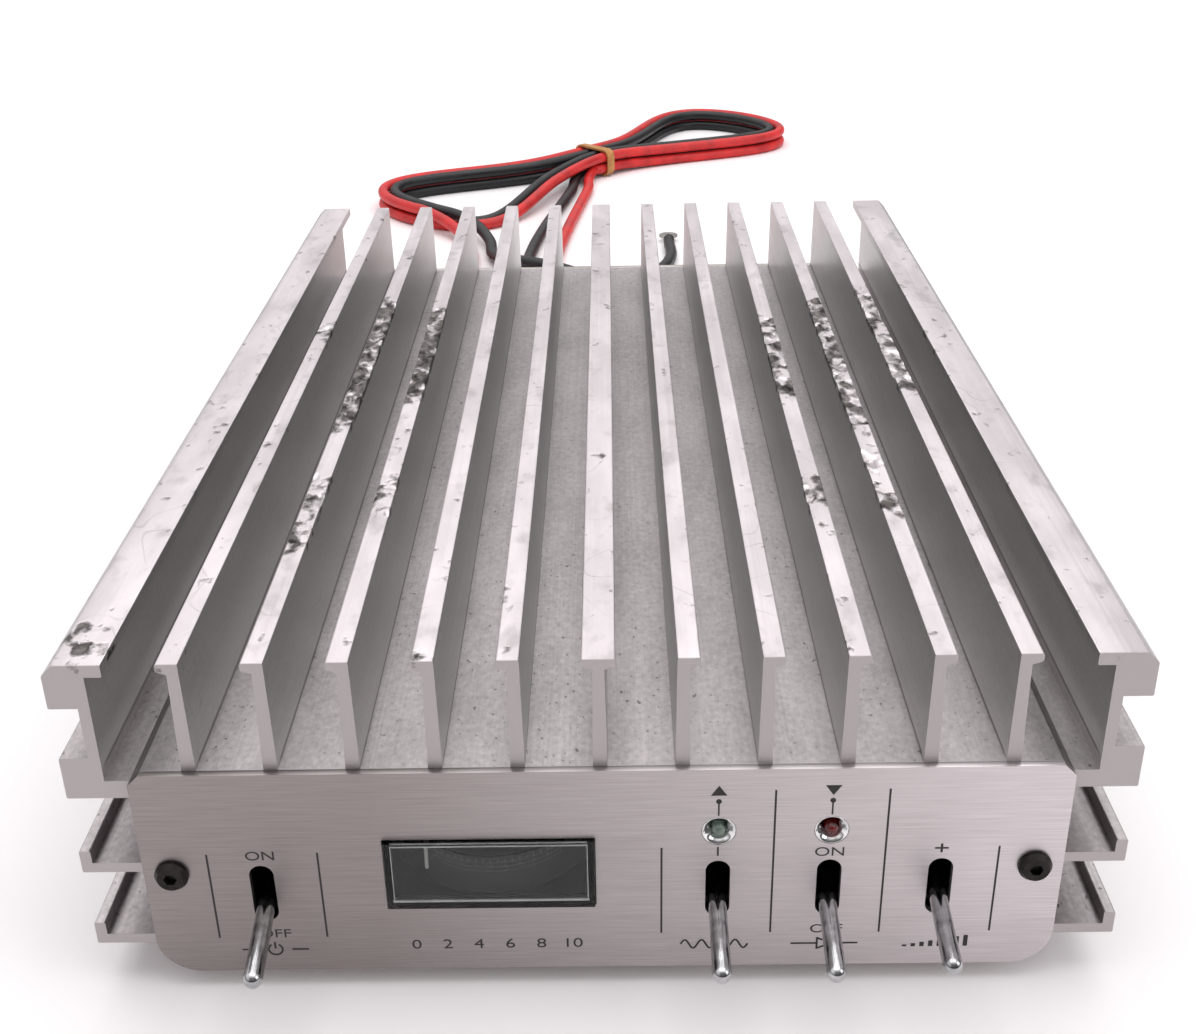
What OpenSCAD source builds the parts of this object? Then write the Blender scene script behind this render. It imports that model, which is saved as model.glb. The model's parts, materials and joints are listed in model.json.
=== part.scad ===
// VHF power amplifier: finned aluminium case with toggle switches, an edgewise meter and tied supply leads.
// Sizes are in millimetres. X runs across the front, Y from front to rear, Z up from the table.

/* [Heatsink] */
// Depth of the extrusion, front to rear
heatsink_l = 274; // [250:1:320]
// Width of the box under the fins
box_w = 160.4; // [154:0.1:176]
// Height of the box, from its underside to the floor between the fins
box_h = 43.3; // [42:0.1:52]
// Thickness of the plate that carries the fins
base_t = 8; // [6:0.5:9]
// Thickness of the side walls
wall_t = 3; // [2:0.1:4]
// Radius of the lower corners
corner_r = 7.5; // [5:0.5:9]
// Chamfer of the upper corners
corner_c = 2; // [1:0.1:3]
// Height of the fins above the floor
fin_h = 21.2; // [16:0.1:30]
// Spacing of the inner fins
fin_pitch = 13.95; // [12:0.05:14]
// Inner fins on each side of the middle one
fin_pairs = 5; // [2:1:5]
// Thickness of a fin at its root
fin_root_t = 2.5; // [2:0.1:3.5]
// Thickness of a fin at its tip
fin_tip_t = 2; // [1.5:0.1:2.5]
// Overhang of the lip on a fin's tip
fin_lip_w = 1.8; // [1:0.1:2.5]
// Thickness of that lip at its edge
fin_lip_t = 1.4; // [0.8:0.1:2]
// Overhang of the outer fin's heavy top bar
bar_w = 5; // [3:0.1:7]
// Height of the heavy top bar
bar_h = 8.4; // [6:0.1:10]
// Bevel on the top bar's outer edge
bar_bevel = 1.9; // [0.5:0.1:3]
// Overhang of the outer fin's inner lip
bar_lip_w = 3; // [2:0.1:4]
// Thickness of the outer fin's inner lip
bar_lip_t = 2.3; // [1.5:0.1:3]
// Gap between the box and the outer fin
ledge_w = 4.2; // [3:0.1:6]
// Thickness of the ledge that carries the outer fin
ledge_t = 3.5; // [3:0.1:5]
// Height of the block at the outer fin's foot
block_h = 8.3; // [6:0.1:10]
// Reach of a side fin from the box
side_fin_w = 11.2; // [8:0.1:12]
// Thickness of a side fin and of its lip
side_fin_t = 2; // [1.5:0.1:2.5]
// Height of a side fin's upturned lip
side_lip_h = 4.6; // [3:0.1:6]
// Height of the upper side fin above the box's underside
upper_side_fin = 21.7; // [18:0.1:24]
// Height of the lower side fin above the box's underside
lower_side_fin = 5.5; // [4:0.1:8]

/* [Panels and cover] */
// Thickness of the front panel
front_panel_t = 1.5; // [1:0.1:3]
// Thickness of the rear panel
rear_panel_t = 2; // [1.5:0.1:3]
// Distance of the panel screws from the box's sides
panel_screw_inset = 5; // [4.5:0.1:5.6]
// Height of the panel screws above the box's underside
panel_screw_z = 22.3; // [18:0.1:26]
// Radius of the screw channel along each side wall
channel_r = 4; // [3.5:0.1:5]
// Thickness of the bottom cover
cover_t = 1.2; // [0.8:0.1:2]
// Width of the ledges that the bottom cover screws to
flange_w = 10; // [8:0.5:14]
// Thickness of those ledges
flange_t = 3; // [2:0.1:4]
// Height of the rubber feet
foot_h = 4; // [3:0.5:10]
// Radius of the rubber feet
foot_r = 6; // [5:0.5:8]

/* [Switches] */
// Distance of the single switch from the box's left side
left_switch_inset = 20.6; // [19:0.1:24]
// Distance of the rightmost switch from the box's right side
right_switch_inset = 21.2; // [20.5:0.1:22]
// Spacing of the switches on the right
switch_pitch = 19.4; // [18:0.1:20]
// Height of the switch slots above the box's underside
switch_z = 17.8; // [16:0.1:19]
// Width of a slot
slot_w = 4.3; // [4:0.1:5.5]
// Height of a slot
slot_h = 12.3; // [11.5:0.1:14]
// Depth of the lever's pivot behind the panel's face
pivot_depth = 12; // [11.5:0.1:12.5]
// Length of a lever in front of its pivot
lever_l = 28.2; // [22:0.1:32]
// Radius of a lever at its pivot
lever_root_r = 1.5; // [1.2:0.05:1.6]
// Radius of a lever at its tip
lever_tip_r = 1.7; // [1.4:0.05:2]
// Tilt of a lever away from level, at either stop
lever_tilt = 15; // [10:1:16]
// Tilt of the rightmost lever, which has a shorter throw
short_tilt = 11; // [8:1:15]
// Radius of the threaded bushing
bushing_r = 5.95; // [5.6:0.05:6.5]
// Radius of the bushing's bore
bushing_bore_r = 4.6; // [4.4:0.05:4.8]
// Radius of the lever's pivot pin
pivot_pin_r = 0.8; // [0.6:0.05:1]
// Thickness of the switch bracket
bracket_t = 1.5; // [1:0.1:2]

/* [Meter] */
// Place of the meter's middle
meter_x = -19.6; // [-21:0.1:-18]
// Height of the meter's middle above the box's underside
meter_z = 21.8; // [20:0.1:23]
// Width of the meter's clear case
meter_w = 36.6; // [34:0.1:38]
// Height of the clear case
meter_h = 14.4; // [13.5:0.1:15]
// Wall of the clear case
meter_wall = 1.3; // [1:0.1:1.4]
// How far the case stands out of the panel
meter_proud = 1; // [0.5:0.1:3]
// Length of the case behind the panel
meter_l = 24; // [23:0.5:28]
// Reach of the pointer from its spindle
pointer_r = 19.6; // [18.8:0.1:20]
// Swing of the pointer to each side of the middle
pointer_swing = 36; // [20:1:40]

/* [Lamps] */
// Height of the lamps above the box's underside
lamp_z = 30.4; // [29.5:0.1:31]
// Radius of a lamp's polished bezel
bezel_r = 2.9; // [2.6:0.1:3.2]
// Radius of a lamp
lamp_r = 1.15; // [1:0.05:1.3]

/* [Circuit] */
// Thickness of the circuit board
board_t = 1.6; // [1:0.1:2]
// Height of the board's standoffs
standoff_h = 3.7; // [3.5:0.1:5]
// Width of the circuit board
board_w = 136; // [134:1:140]
// Gap between the circuit board and the front end
board_front_gap = 42; // [40:1:46]
// Gap between the circuit board and the rear end
board_rear_gap = 22; // [18:1:26]

/* [Rear] */
// Distance of the coaxial sockets from the box's sides
socket_inset = 26.2; // [24:0.1:30]
// Height of the sockets above the box's underside
socket_z = 22; // [20:0.5:24]
// Radius of a socket's threaded barrel
barrel_r = 7.9; // [7.5:0.05:8]
// Length of that barrel
barrel_l = 12; // [10:0.5:14]
// Radius of a socket's bore
socket_bore_r = 6.1; // [5.8:0.05:6.3]
// Width of a socket's square flange
socket_flange_w = 25.4; // [24:0.1:26]
// Thickness of that flange
socket_flange_t = 3; // [2:0.1:4]
// Half the spacing of a socket's screws
socket_screw_x = 9.1; // [9:0.05:9.3]

/* [Supply leads] */
// Diameter of a supply lead
lead_d = 5; // [4:0.1:5.2]
// Clear gap between neighbouring leads in the hank
lead_gap = 0.7; // [0.5:0.05:1]
// Half the length of the hank
hank_a = 122; // [115:1:130]
// Fullness of the hank's lobes
hank_k = 82; // [70:1:90]
// Thickness of the rubber band
band_t = 1; // [0.6:0.1:1.2]
// Width of the rubber band
band_w = 5; // [3:0.1:5]

/* [Fits] */
// Radial clearance of a screw or bushing in its hole
screw_fit = 0.1; // [0.05:0.05:0.2]
// Radial clearance of a pivot in its bearing
pivot_fit = 0.05; // [0.02:0.01:0.08]
// Clearance of a part in a panel cut-out
panel_fit = 0.2; // [0.1:0.05:0.4]

/* [Hidden] */
$fn = 48;
// How far a cut runs past the face that it opens
cut = 1;

// Levels, upwards from the table
base_z = foot_h;
floor_z = base_z + box_h;
top_z = floor_z + fin_h;
ledge_z = floor_z - corner_c;
ceiling_z = floor_z - base_t;
flange_z = base_z + cover_t;
cavity_z = flange_z + flange_t;
board_top_z = ceiling_z - standoff_h;
board_z = board_top_z - board_t;

// Widths, outwards from the middle
box_x = box_w / 2;
web_x = box_x + ledge_w;
web_t = 2;
root_sink = 1;
cover_inset = 0.5;
cover_x = box_x - corner_r - cover_inset;
face_y = -front_panel_t;
rear_y = heatsink_l + rear_panel_t;

// Screws
m3_r = 1.45;
m3_head_r = 2.7;
m3_head_h = 1.8;
m3_nut_r = 3.1;
m3_nut_h = 2.4;
button_r = 2.95;
button_h = 1.6;
button_edge = 0.7;
button_top_r = 2.3;
button_hex_r = 1.2;
button_hex_depth = 1.1;
panel_screw_l = 14;
thread_depth = 6;
// Room past a screw's end in a blind hole, and what it shows past a nut
screw_end = 1;
panel_screw_x = box_x - panel_screw_inset;
screw_z = base_z + panel_screw_z;

// Switches
pivot_y = face_y + pivot_depth;
pivot_z = base_z + switch_z;
bushing_y = 1.5;
bracket_y = pivot_y + 2.5;
body_y = bracket_y + bracket_t;
body_w = 16;
body_l = 15.5;
body_h = 14;
nut_w = 14;
nut_t = 2.5;
lever_tail_l = 7;
lever_tail_r = 1.2;
lever_ball_r = 3.2;
tail_room = 4.5;
pin_recess = 0.4;
lug_w = 2;
lug_t = 0.8;
lug_l = 4;
lug_x = 4;
lug_pitch = 4.5;
left_switch_x = left_switch_inset - box_x;
right_switch_x = box_x - right_switch_inset - 2 * switch_pitch;
switches = concat([left_switch_x], [for (i = [0 : 2]) right_switch_x + i * switch_pitch]);
bracket_foot_l = 14;
channel_gap = 1;
bracket_x = panel_screw_x - channel_r - channel_gap;
bracket_lift = 2;
meter_room = 3;
meter_headroom = 1;
bracket_screw_inset = 6.2;
middle_screw_x = (meter_x + meter_w / 2 + right_switch_x - body_w / 2) / 2;
bracket_screws_x = [bracket_screw_inset - bracket_x, middle_screw_x, bracket_x - bracket_screw_inset];

// Meter
meter_mid_z = base_z + meter_z;
meter_face_y = face_y - meter_proud;
meter_flange = 2;
meter_flange_t = 1.5;
needle_gap = 1;
spindle_y = meter_face_y + meter_wall + needle_gap + pointer_r;
spindle_r = 0.5;
hub_r = 1.4;
hub_h = 3.2;
arm_t = 0.5;
needle_w = 0.45;
needle_h = 5.4;
scale_t = 0.5;
scale_gap = 0.5;
scale_r = pointer_r - needle_w - scale_gap;
scale_arm_t = 1;
scale_arm_out = 0.2;
scale_side_gap = 0.8;
scale_half_w = meter_w / 2 - meter_wall - scale_side_gap - scale_arm_out;
scale_lift = 0.1;
fork_t = 1;
fork_gap = 0.4;
arm_drop = 3.9;
arm_z = meter_mid_z + meter_h / 2 - meter_wall - arm_drop;
arm_gap = 0.4;
arm_sink = 0.3;
scale_bottom = meter_mid_z - meter_h / 2 + meter_wall + scale_lift;
scale_top = arm_z - arm_gap;
fork_w = 4;
movement_l = 12;
movement_w = 24;

// Lamps
lamps = [right_switch_x, right_switch_x + switch_pitch];
lamp_level = base_z + lamp_z;
bezel_l = 4;
bezel_flange = 0.9;
bezel_flange_t = 1;
bezel_rim = 0.15;
bezel_cone_l = 1.7;
lamp_proud = 0.5;
lamp_l = bezel_l - face_y + lamp_proud - lamp_r;
lamp_leg_x = 0.7;
lamp_flange = 0.4;
lamp_flange_t = 1;
lamp_leg_r = 0.25;
lamp_leg_l = 4;

// Circuit: the row of transistors is set from the board's front edge, the rest from its rear edge
board_front_y = board_front_gap;
board_rear_y = heatsink_l - board_rear_gap;
standoff_r = 2.9;
standoff_inset = 6;
standoffs = [for (x = [-1, 0, 1], y = [board_front_y + standoff_inset, board_rear_y - standoff_inset])
    [x * (board_w / 2 - standoff_inset), y]];
transistor_x = 25;
transistor_front_gap = 68;
transistor_y = board_front_y + transistor_front_gap;
transistors = [for (s = [-1, 1]) [s * transistor_x, transistor_y]];
transistor_w = 9.6;
transistor_l = 24.8;
transistor_flange_t = 1.8;
transistor_screw_y = 9.2;
cap_drop = 1;
tab_w = 6;
tab_t = 0.2;
tab_l = 11;
cutout_w = 12;
cutout_l = 28;
trimmer_r = 4;
trimmer_h = 5;
trimmer_slot_w = 0.8;
trimmer_slot_l = 6;
trimmer_x = 45;
trimmer_y = 25;
middle_trimmer_y = 35;
trimmers = concat([for (u = [-1, 1], v = [-1, 1]) [u * trimmer_x, transistor_y + v * trimmer_y]],
    [for (v = [-1, 1]) [0, transistor_y + v * middle_trimmer_y]]);
relay_w = 20;
relay_l = 12;
relay_h = 10;
relay_x = 45;
relay_rear_gap = 24;
relays_at = [for (s = [-1, 1]) [s * relay_x, board_rear_y - relay_rear_gap]];
capacitor_r = 6.5;
capacitor_h = 16;
capacitor_x = -50;
capacitor_rear_gap = 72;
capacitor_at = [capacitor_x, board_rear_y - capacitor_rear_gap];
choke_r = 11;
choke_bore_r = 5;
choke_h = 7;
choke_x = -20;
choke_rear_gap = 67;
choke_at = [choke_x, board_rear_y - choke_rear_gap];
coil_r = 5;
coil_bore_r = 3.8;
coil_h = 9;
coil_pitch = 14;
coil_x = 2;
coil_rear_gap = 40;
coils = [for (i = [-1 : 1]) [coil_x + i * coil_pitch, board_rear_y - coil_rear_gap]];
shield_w = 44;
shield_l = 32;
shield_h = 12;
shield_t = 0.6;
shield_x = 32;
shield_rear_gap = 68;
shield_at = [shield_x, board_rear_y - shield_rear_gap];

// Rear
socket_x = box_x - socket_inset;
socket_level = base_z + socket_z;
socket_flange_y = rear_y + socket_flange_t;
socket_end_y = socket_flange_y + barrel_l;
socket_mouth = 9;
socket_tail = 4;
contact_r = 2.9;
contact_bore_r = 2;
grommet_neck_r = 4;
grommet_r = 5.6;
grommet_t = 2;
lead_r = lead_d / 2;
lead_offset = 20;
lead_pitch = 12;
black_x = lead_offset - socket_x;
red_x = black_x + lead_pitch;
lead_rise = 18;
lead_z = base_z + lead_rise;

// Feet and cover screws
foot_inset = 4;
foot_x = cover_x - flange_w - foot_inset;
foot_y = 30;
feet = [for (x = [-1, 1], y = [foot_y, heatsink_l - foot_y]) [x * foot_x, y]];
foot_recess_r = 3.2;
foot_recess = 2.2;
foot_head_h = 1.5;
cover_screw_x = cover_x - flange_w / 2;
cover_screw_y = 15;
cover_holes = [for (x = [-1, 1], y = [cover_screw_y, heatsink_l / 2, heatsink_l - cover_screw_y])
    [x * cover_screw_x, y]];

// The origin lies under the middle of the amplifier, levers and sockets included
front_reach = pivot_y - (lever_l - lever_tip_r) * cos(min(lever_tilt, short_tilt)) - lever_tip_r;
mid_y = (front_reach + socket_end_y) / 2;

// Hank: two flat loops of each lead, red outside black, drawn in at the band
hank_x = -5;
hank_behind = 309;
hank_mid = [hank_x, rear_y + hank_behind];
hank_turn = 45;
hank_step = lead_d + lead_gap;
hank_loops = 1.75;
hank_rings = 24;
hank_sides = 6;
climb_from = 300;
climb_to = 340;
band_gap = 0.45;
band_lift = band_t + 2 * band_gap;
lift_length = 28;

// A point of the hank's middle line, along and across the hank; 0 degrees is the front of the waist
function bow(t) = let (p = t - 90)
    [hank_a * cos(p), sin(p) * (hank_step + hank_k * pow(cos(p), 2))];
// Direction of travel there
function bow_way(t) = let (p = t - 90,
        lobe = hank_k * pow(cos(p), 2) - 2 * hank_k * pow(sin(p), 2),
        v = [-hank_a * sin(p), cos(p) * (hank_step + lobe)])
    v / norm(v);
// Share of the climb to the next layer, along the run before the waist
function climb(t) = let (turn = floor(t / 360),
        s = min(1, max(0, (t - 360 * turn - climb_from) / (climb_to - climb_from))))
    turn + s * s * (3 - 2 * s);
// From hank directions to the amplifier's own
function hank_place(a, b, z) = [hank_mid[0] + a * cos(hank_turn) - b * sin(hank_turn),
    hank_mid[1] + a * sin(hank_turn) + b * cos(hank_turn), z];
function hank_point(t, side) = let (v = bow_way(t), p = bow(t) + side * hank_step / 2 * [v[1], -v[0]])
    hank_place(p[0], p[1], lead_r + band_lift * exp(-pow(p[0] / lift_length, 2)) + hank_step * climb(t));
function hank_way(t) = let (v = bow_way(t)) hank_place(v[0], v[1], 0) - [hank_mid[0], hank_mid[1], 0];
hank_end = 360 * hank_loops;
function hank_start_point(side) = hank_point(0, side) - lead_d * hank_way(0);
function hank_end_point(side) = hank_point(hank_end, side) + lead_d * hank_way(hank_end);
function hank_path(side, steps) = concat([hank_start_point(side)],
    [for (i = [0 : steps]) hank_point(i * hank_end / steps, side)], [hank_end_point(side)]);

// Least clear gap between points of a path that lie some steps apart along it
function own_gap(path, apart) = min([for (i = [0 : len(path) - 1], j = [i + apart : 1 : len(path) - 1])
    norm(path[i] - path[j])]) - lead_d;
measure_steps = 126;
measure_apart = 12;
echo(red_hank_gap = own_gap(hank_path(1, measure_steps), measure_apart));
echo(black_hank_gap = own_gap(hank_path(-1, measure_steps), measure_apart));

// Free stretches: out of the grommet, down to the table and back to the hank. Their points are measured
// from the middle, the rear panel and the height of a lead that lies on the table
function behind(points) = [for (p = points) [p[0], rear_y + p[1], lead_r + p[2]]];
// Fall of a lead from its grommet: distance behind the panel, and drop
fall = [[14, 0], [34, 3], [52, 10], [70, 17]];
landing = [90, 124];
function way_down(x) = concat([for (p = fall) [x, rear_y + p[0], lead_z - p[1]]],
    [for (y = landing) [x, rear_y + y, lead_r]]);
black_route = concat(way_down(black_x), behind([[-32, 164, 0], [-27, 204, 0], [-20, 244, 0], [-16, 268, 0.1],
    [-15, 282, 0.7]]));
red_route = concat(way_down(red_x), behind([[-20, 164, 0], [-16, 204, 0], [-11, 244, 0], [-8, 268, 0.1],
    [-8, 282, 0.7]]));
// Lead ends: off the left lobe and back towards the case
black_end_route = behind([[-66, 202, 5.6], [-57, 190, 3.7], [-51, 176, 1.1], [-49, 160, 0.5], [-44, 144, 2.9],
    [-34, 131, 5.8], [-21, 123, 5.8], [-8, 120, 2.9], [5, 121, 0.2], [17, 127, 0], [25, 138, 0], [29, 154, 0],
    [29, 170, 0]]);
red_end_route = behind([[-72, 198, 3.9], [-64, 185, 1.3], [-59, 169, 0.1], [-57, 151, 0], [-57, 130, 0],
    [-59, 110, 0], [-65, 91, 0], [-73, 76, 0]]);

// A smooth curve through the route's points, with a ring halfway between each two
function spline(p, i, s) = let (a = p[max(i - 1, 0)], b = p[i], c = p[i + 1], d = p[min(i + 2, len(p) - 1)])
    0.5 * (2 * b + (c - a) * s + (2 * a - 5 * b + 4 * c - d) * s * s + (3 * b - a - 3 * c + d) * s * s * s);
function smooth(p) = concat([for (i = [0 : len(p) - 2], s = [0, 0.5]) spline(p, i, s)], [p[len(p) - 1]]);

// Places as the modules use them, from the extrusion's front end
module place() {
    translate([0, -mid_y, 0])
        children();
}

// Stands a flat outline, drawn across and up, between two depths
module upright(from, to) {
    translate([0, to, 0])
        rotate([90, 0, 0])
            linear_extrude(to - from)
                children();
}

// A round bar from front to rear
module bar_y(x, z, from, to, r) {
    translate([x, from, z])
        rotate([-90, 0, 0])
            cylinder(h = to - from, r = r);
}

// A screw that points up, its head below the level
module screw(head_r, head_h, r, l) {
    translate([0, 0, -head_h])
        cylinder(h = head_h, r = head_r);
    cylinder(h = l, r = r);
}

// An upright slot with round ends about the middle
module slot(w, h) {
    square([w, h - w], center = true);
    for (s = [-1, 1])
        translate([0, s * (h - w) / 2])
            circle(w / 2);
}

// A rectangle with round corners about the middle
module round_rect(w, h, r) {
    square([w - 2 * r, h], center = true);
    square([w, h - 2 * r], center = true);
    for (x = [-1, 1], y = [-1, 1])
        translate([x * (w / 2 - r), y * (h / 2 - r)])
            circle(r);
}

// Outline of the box, which both panels share
module box_outline() {
    polygon([[-box_x, base_z + corner_r], [box_x, base_z + corner_r], [box_x, floor_z - corner_c],
        [box_x - corner_c, floor_z], [corner_c - box_x, floor_z], [-box_x, floor_z - corner_c]]);
    translate([corner_r - box_x, base_z])
        square([box_w - 2 * corner_r, corner_r]);
    for (s = [-1, 1])
        translate([s * (box_x - corner_r), base_z + corner_r])
            circle(corner_r);
}

// Right-hand side of an inner fin, from its root up to its tip, with or without a lip
function fin_side(lip) = concat([[fin_root_t / 2, floor_z - root_sink]],
    lip ? [[fin_tip_t / 2, top_z - fin_lip_t - fin_lip_w / 3],
        [fin_tip_t / 2 + fin_lip_w, top_z - fin_lip_t],
        [fin_tip_t / 2 + fin_lip_w, top_z]] : [[fin_tip_t / 2, top_z]]);
module inner_fin(x, left_lip, right_lip) {
    left = fin_side(left_lip);
    left_side = [for (i = [len(left) - 1 : -1 : 0]) [-left[i][0], left[i][1]]];
    translate([x, 0])
        polygon(concat(fin_side(right_lip), left_side));
}

// Ledge, outer fin and side fins of the right-hand side
module edge_outline() {
    translate([box_x - wall_t, ledge_z - ledge_t])
        square([ledge_w + wall_t + web_t, ledge_t]);
    translate([web_x, ledge_z - ledge_t])
        square([web_t, top_z - ledge_z + ledge_t]);
    translate([web_x, ledge_z - ledge_t])
        square([web_t + bar_w, block_h]);
    translate([web_x - bar_lip_w, top_z - bar_lip_t])
        square([bar_lip_w + web_t, bar_lip_t]);
    bar_x = web_x + web_t + bar_w;
    polygon([[web_x, top_z - bar_h], [bar_x, top_z - bar_h], [bar_x, top_z - bar_bevel],
        [bar_x - bar_bevel, top_z], [web_x, top_z]]);
    for (z = [base_z + upper_side_fin, base_z + lower_side_fin]) {
        translate([box_x - wall_t, z])
            square([wall_t + side_fin_w, side_fin_t]);
        translate([box_x + side_fin_w - side_fin_t, z])
            square([side_fin_t, side_lip_h]);
    }
}

// Inside of the box, with the screw channels left standing
module cavity_outline() {
    difference() {
        translate([wall_t - box_x, cavity_z])
            square([box_w - 2 * wall_t, ceiling_z - cavity_z]);
        for (s = [-1, 1]) {
            translate([s * panel_screw_x, screw_z])
                circle(channel_r);
            translate([s * (panel_screw_x + channel_r) - channel_r, screw_z - channel_r])
                square(2 * channel_r);
        }
    }
}

module heatsink_outline() {
    difference() {
        union() {
            box_outline();
            edge_outline();
            mirror([1, 0])
                edge_outline();
            inner_fin(0, true, true);
            for (i = [1 : fin_pairs], s = [-1, 1])
                inner_fin(s * i * fin_pitch, s < 0, s > 0);
        }
        cavity_outline();
        translate([-cover_x, base_z - cut])
            square([2 * cover_x, cover_t + cut]);
        translate([flange_w - cover_x, base_z])
            square([2 * (cover_x - flange_w), cover_t + flange_t + cut]);
    }
}

// Places of the screws that go up into the plate under the fins
ceiling_holes = concat(standoffs, [for (p = transistors, s = [-1, 1]) p + [0, s * transistor_screw_y]],
    [for (x = bracket_screws_x) [x, body_y + bracket_foot_l / 2]]);

module heatsink() color("silver") place() {
    difference() {
        upright(0, heatsink_l)
            heatsink_outline();
        for (s = [-1, 1], y = [-cut, heatsink_l - panel_screw_l])
            bar_y(s * panel_screw_x, screw_z, y, y + panel_screw_l + cut, m3_r + screw_fit);
        for (p = ceiling_holes)
            translate([p[0], p[1], ceiling_z - cut])
                cylinder(h = thread_depth + cut, r = m3_r + screw_fit);
        for (p = cover_holes)
            translate([p[0], p[1], flange_z - cut])
                cylinder(h = flange_t + 2 * cut, r = m3_r + screw_fit);
    }
}

module panel_screw_holes(from, to) {
    for (s = [-1, 1])
        bar_y(s * panel_screw_x, screw_z, from, to, m3_r + panel_fit);
}

module front_panel() color("gainsboro") place() {
    difference() {
        upright(face_y, 0)
            difference() {
                box_outline();
                for (x = switches)
                    translate([x, pivot_z])
                        slot(slot_w, slot_h);
                translate([meter_x, meter_mid_z])
                    square([meter_w + 2 * panel_fit, meter_h + 2 * panel_fit], center = true);
            }
        panel_screw_holes(face_y - cut, cut);
        for (x = lamps)
            bar_y(x, lamp_level, face_y - cut, cut, bezel_r + screw_fit);
    }
}

// A black button-head screw that points up
module button_head_screw() {
    difference() {
        union() {
            screw(button_r, button_edge, m3_r, panel_screw_l - screw_end);
            translate([0, 0, -button_h])
                cylinder(h = button_h - button_edge, r1 = button_top_r, r2 = button_r);
        }
        translate([0, 0, -button_h - cut])
            cylinder(h = button_hex_depth + cut, r = button_hex_r, $fn = 6);
    }
}

module front_panel_screws() color("black") place() {
    for (s = [-1, 1])
        translate([s * panel_screw_x, face_y, screw_z])
            rotate([-90, 0, 0])
                button_head_screw();
}

// A plate behind the panel that carries the switches, open round the meter and screwed up at its foot
module switch_bracket() color("lightgrey") place() {
    difference() {
        union() {
            translate([-bracket_x, bracket_y, cavity_z + bracket_lift])
                cube([2 * bracket_x, bracket_t, ceiling_z - cavity_z - bracket_lift]);
            translate([-bracket_x, bracket_y, ceiling_z - bracket_t])
                cube([2 * bracket_x, bracket_t + bracket_foot_l, bracket_t]);
        }
        translate([meter_x - meter_w / 2 - meter_room, bracket_y - cut, cavity_z])
            cube([meter_w + 2 * meter_room, bracket_t + 2 * cut,
                meter_mid_z + meter_h / 2 + meter_headroom - cavity_z]);
        for (x = switches)
            bar_y(x, pivot_z, bracket_y - cut, body_y + cut, bushing_r + screw_fit);
        for (x = bracket_screws_x)
            translate([x, body_y + bracket_foot_l / 2, ceiling_z - bracket_t - cut])
                cylinder(h = bracket_t + 2 * cut, r = m3_r + screw_fit);
    }
}

module bracket_screws() color("grey") place() {
    for (x = bracket_screws_x)
        translate([x, body_y + bracket_foot_l / 2, ceiling_z - bracket_t])
            screw(m3_head_r, m3_head_h, m3_r, thread_depth);
}

// A moulded switch body with room for the lever's tail, and solder lugs behind
module switch_body(x) color("dimgrey") place() {
    difference() {
        translate([x - body_w / 2, body_y, pivot_z - body_h / 2])
            cube([body_w, body_l, body_h]);
        bar_y(x, pivot_z, body_y - cut, body_y + tail_room, bushing_bore_r);
    }
    for (u = [-1, 1], v = [-1, 0, 1])
        translate([x + u * lug_x - lug_t / 2, body_y + body_l, pivot_z + v * lug_pitch - lug_w / 2])
            cube([lug_t, lug_l, lug_w]);
}
module power_switch_body() { switch_body(switches[0]); }
module mode_switch_body() { switch_body(switches[1]); }
module preamp_switch_body() { switch_body(switches[2]); }
module level_switch_body() { switch_body(switches[3]); }

module switch_bushings() color("silver") place() {
    for (x = switches)
        difference() {
            bar_y(x, pivot_z, bushing_y, body_y, bushing_r);
            bar_y(x, pivot_z, bushing_y - cut, body_y + cut, bushing_bore_r);
            translate([x, pivot_y, pivot_z])
                rotate([0, 90, 0])
                    cylinder(h = 2 * (bushing_r + cut), r = pivot_pin_r + pivot_fit, center = true);
        }
}

module switch_nuts() color("silver") place() {
    for (x = switches)
        difference() {
            translate([x, bracket_y, pivot_z])
                rotate([90, 0, 0])
                    cylinder(h = nut_t, r = nut_w / 2 / cos(30), $fn = 6);
            bar_y(x, pivot_z, bracket_y - nut_t - cut, bracket_y + cut, bushing_r + screw_fit);
        }
}

// A chrome lever with its ball, tail and pivot pin, tilted down to its lower stop
module lever(x, tilt) color("whitesmoke") place() {
    translate([x, pivot_y, pivot_z])
        rotate([90 + tilt, 0, 0]) {
            cylinder(h = lever_l - lever_tip_r, r1 = lever_root_r, r2 = lever_tip_r);
            translate([0, 0, lever_l - lever_tip_r])
                sphere(lever_tip_r);
            sphere(lever_ball_r);
            translate([0, 0, -lever_tail_l])
                cylinder(h = lever_tail_l, r = lever_tail_r);
            rotate([0, 90, 0])
                cylinder(h = 2 * (bushing_r - pin_recess), r = pivot_pin_r, center = true);
        }
}
module power_lever() { lever(switches[0], lever_tilt); }
module mode_lever() { lever(switches[1], lever_tilt); }
module preamp_lever() { lever(switches[2], lever_tilt); }
module level_lever() { lever(switches[3], short_tilt); }

// A clear box through the panel, flanged behind it and open at the rear
module meter_case() color([0.8, 0.85, 0.85, 0.4]) place() {
    translate([meter_x, 0, meter_mid_z])
        difference() {
            union() {
                upright(meter_face_y, meter_l)
                    square([meter_w, meter_h], center = true);
                upright(0, meter_flange_t)
                    square([meter_w + 2 * meter_flange, meter_h + 2 * meter_flange], center = true);
            }
            upright(meter_face_y + meter_wall, meter_l + cut)
                square([meter_w - 2 * meter_wall, meter_h - 2 * meter_wall], center = true);
        }
}

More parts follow.
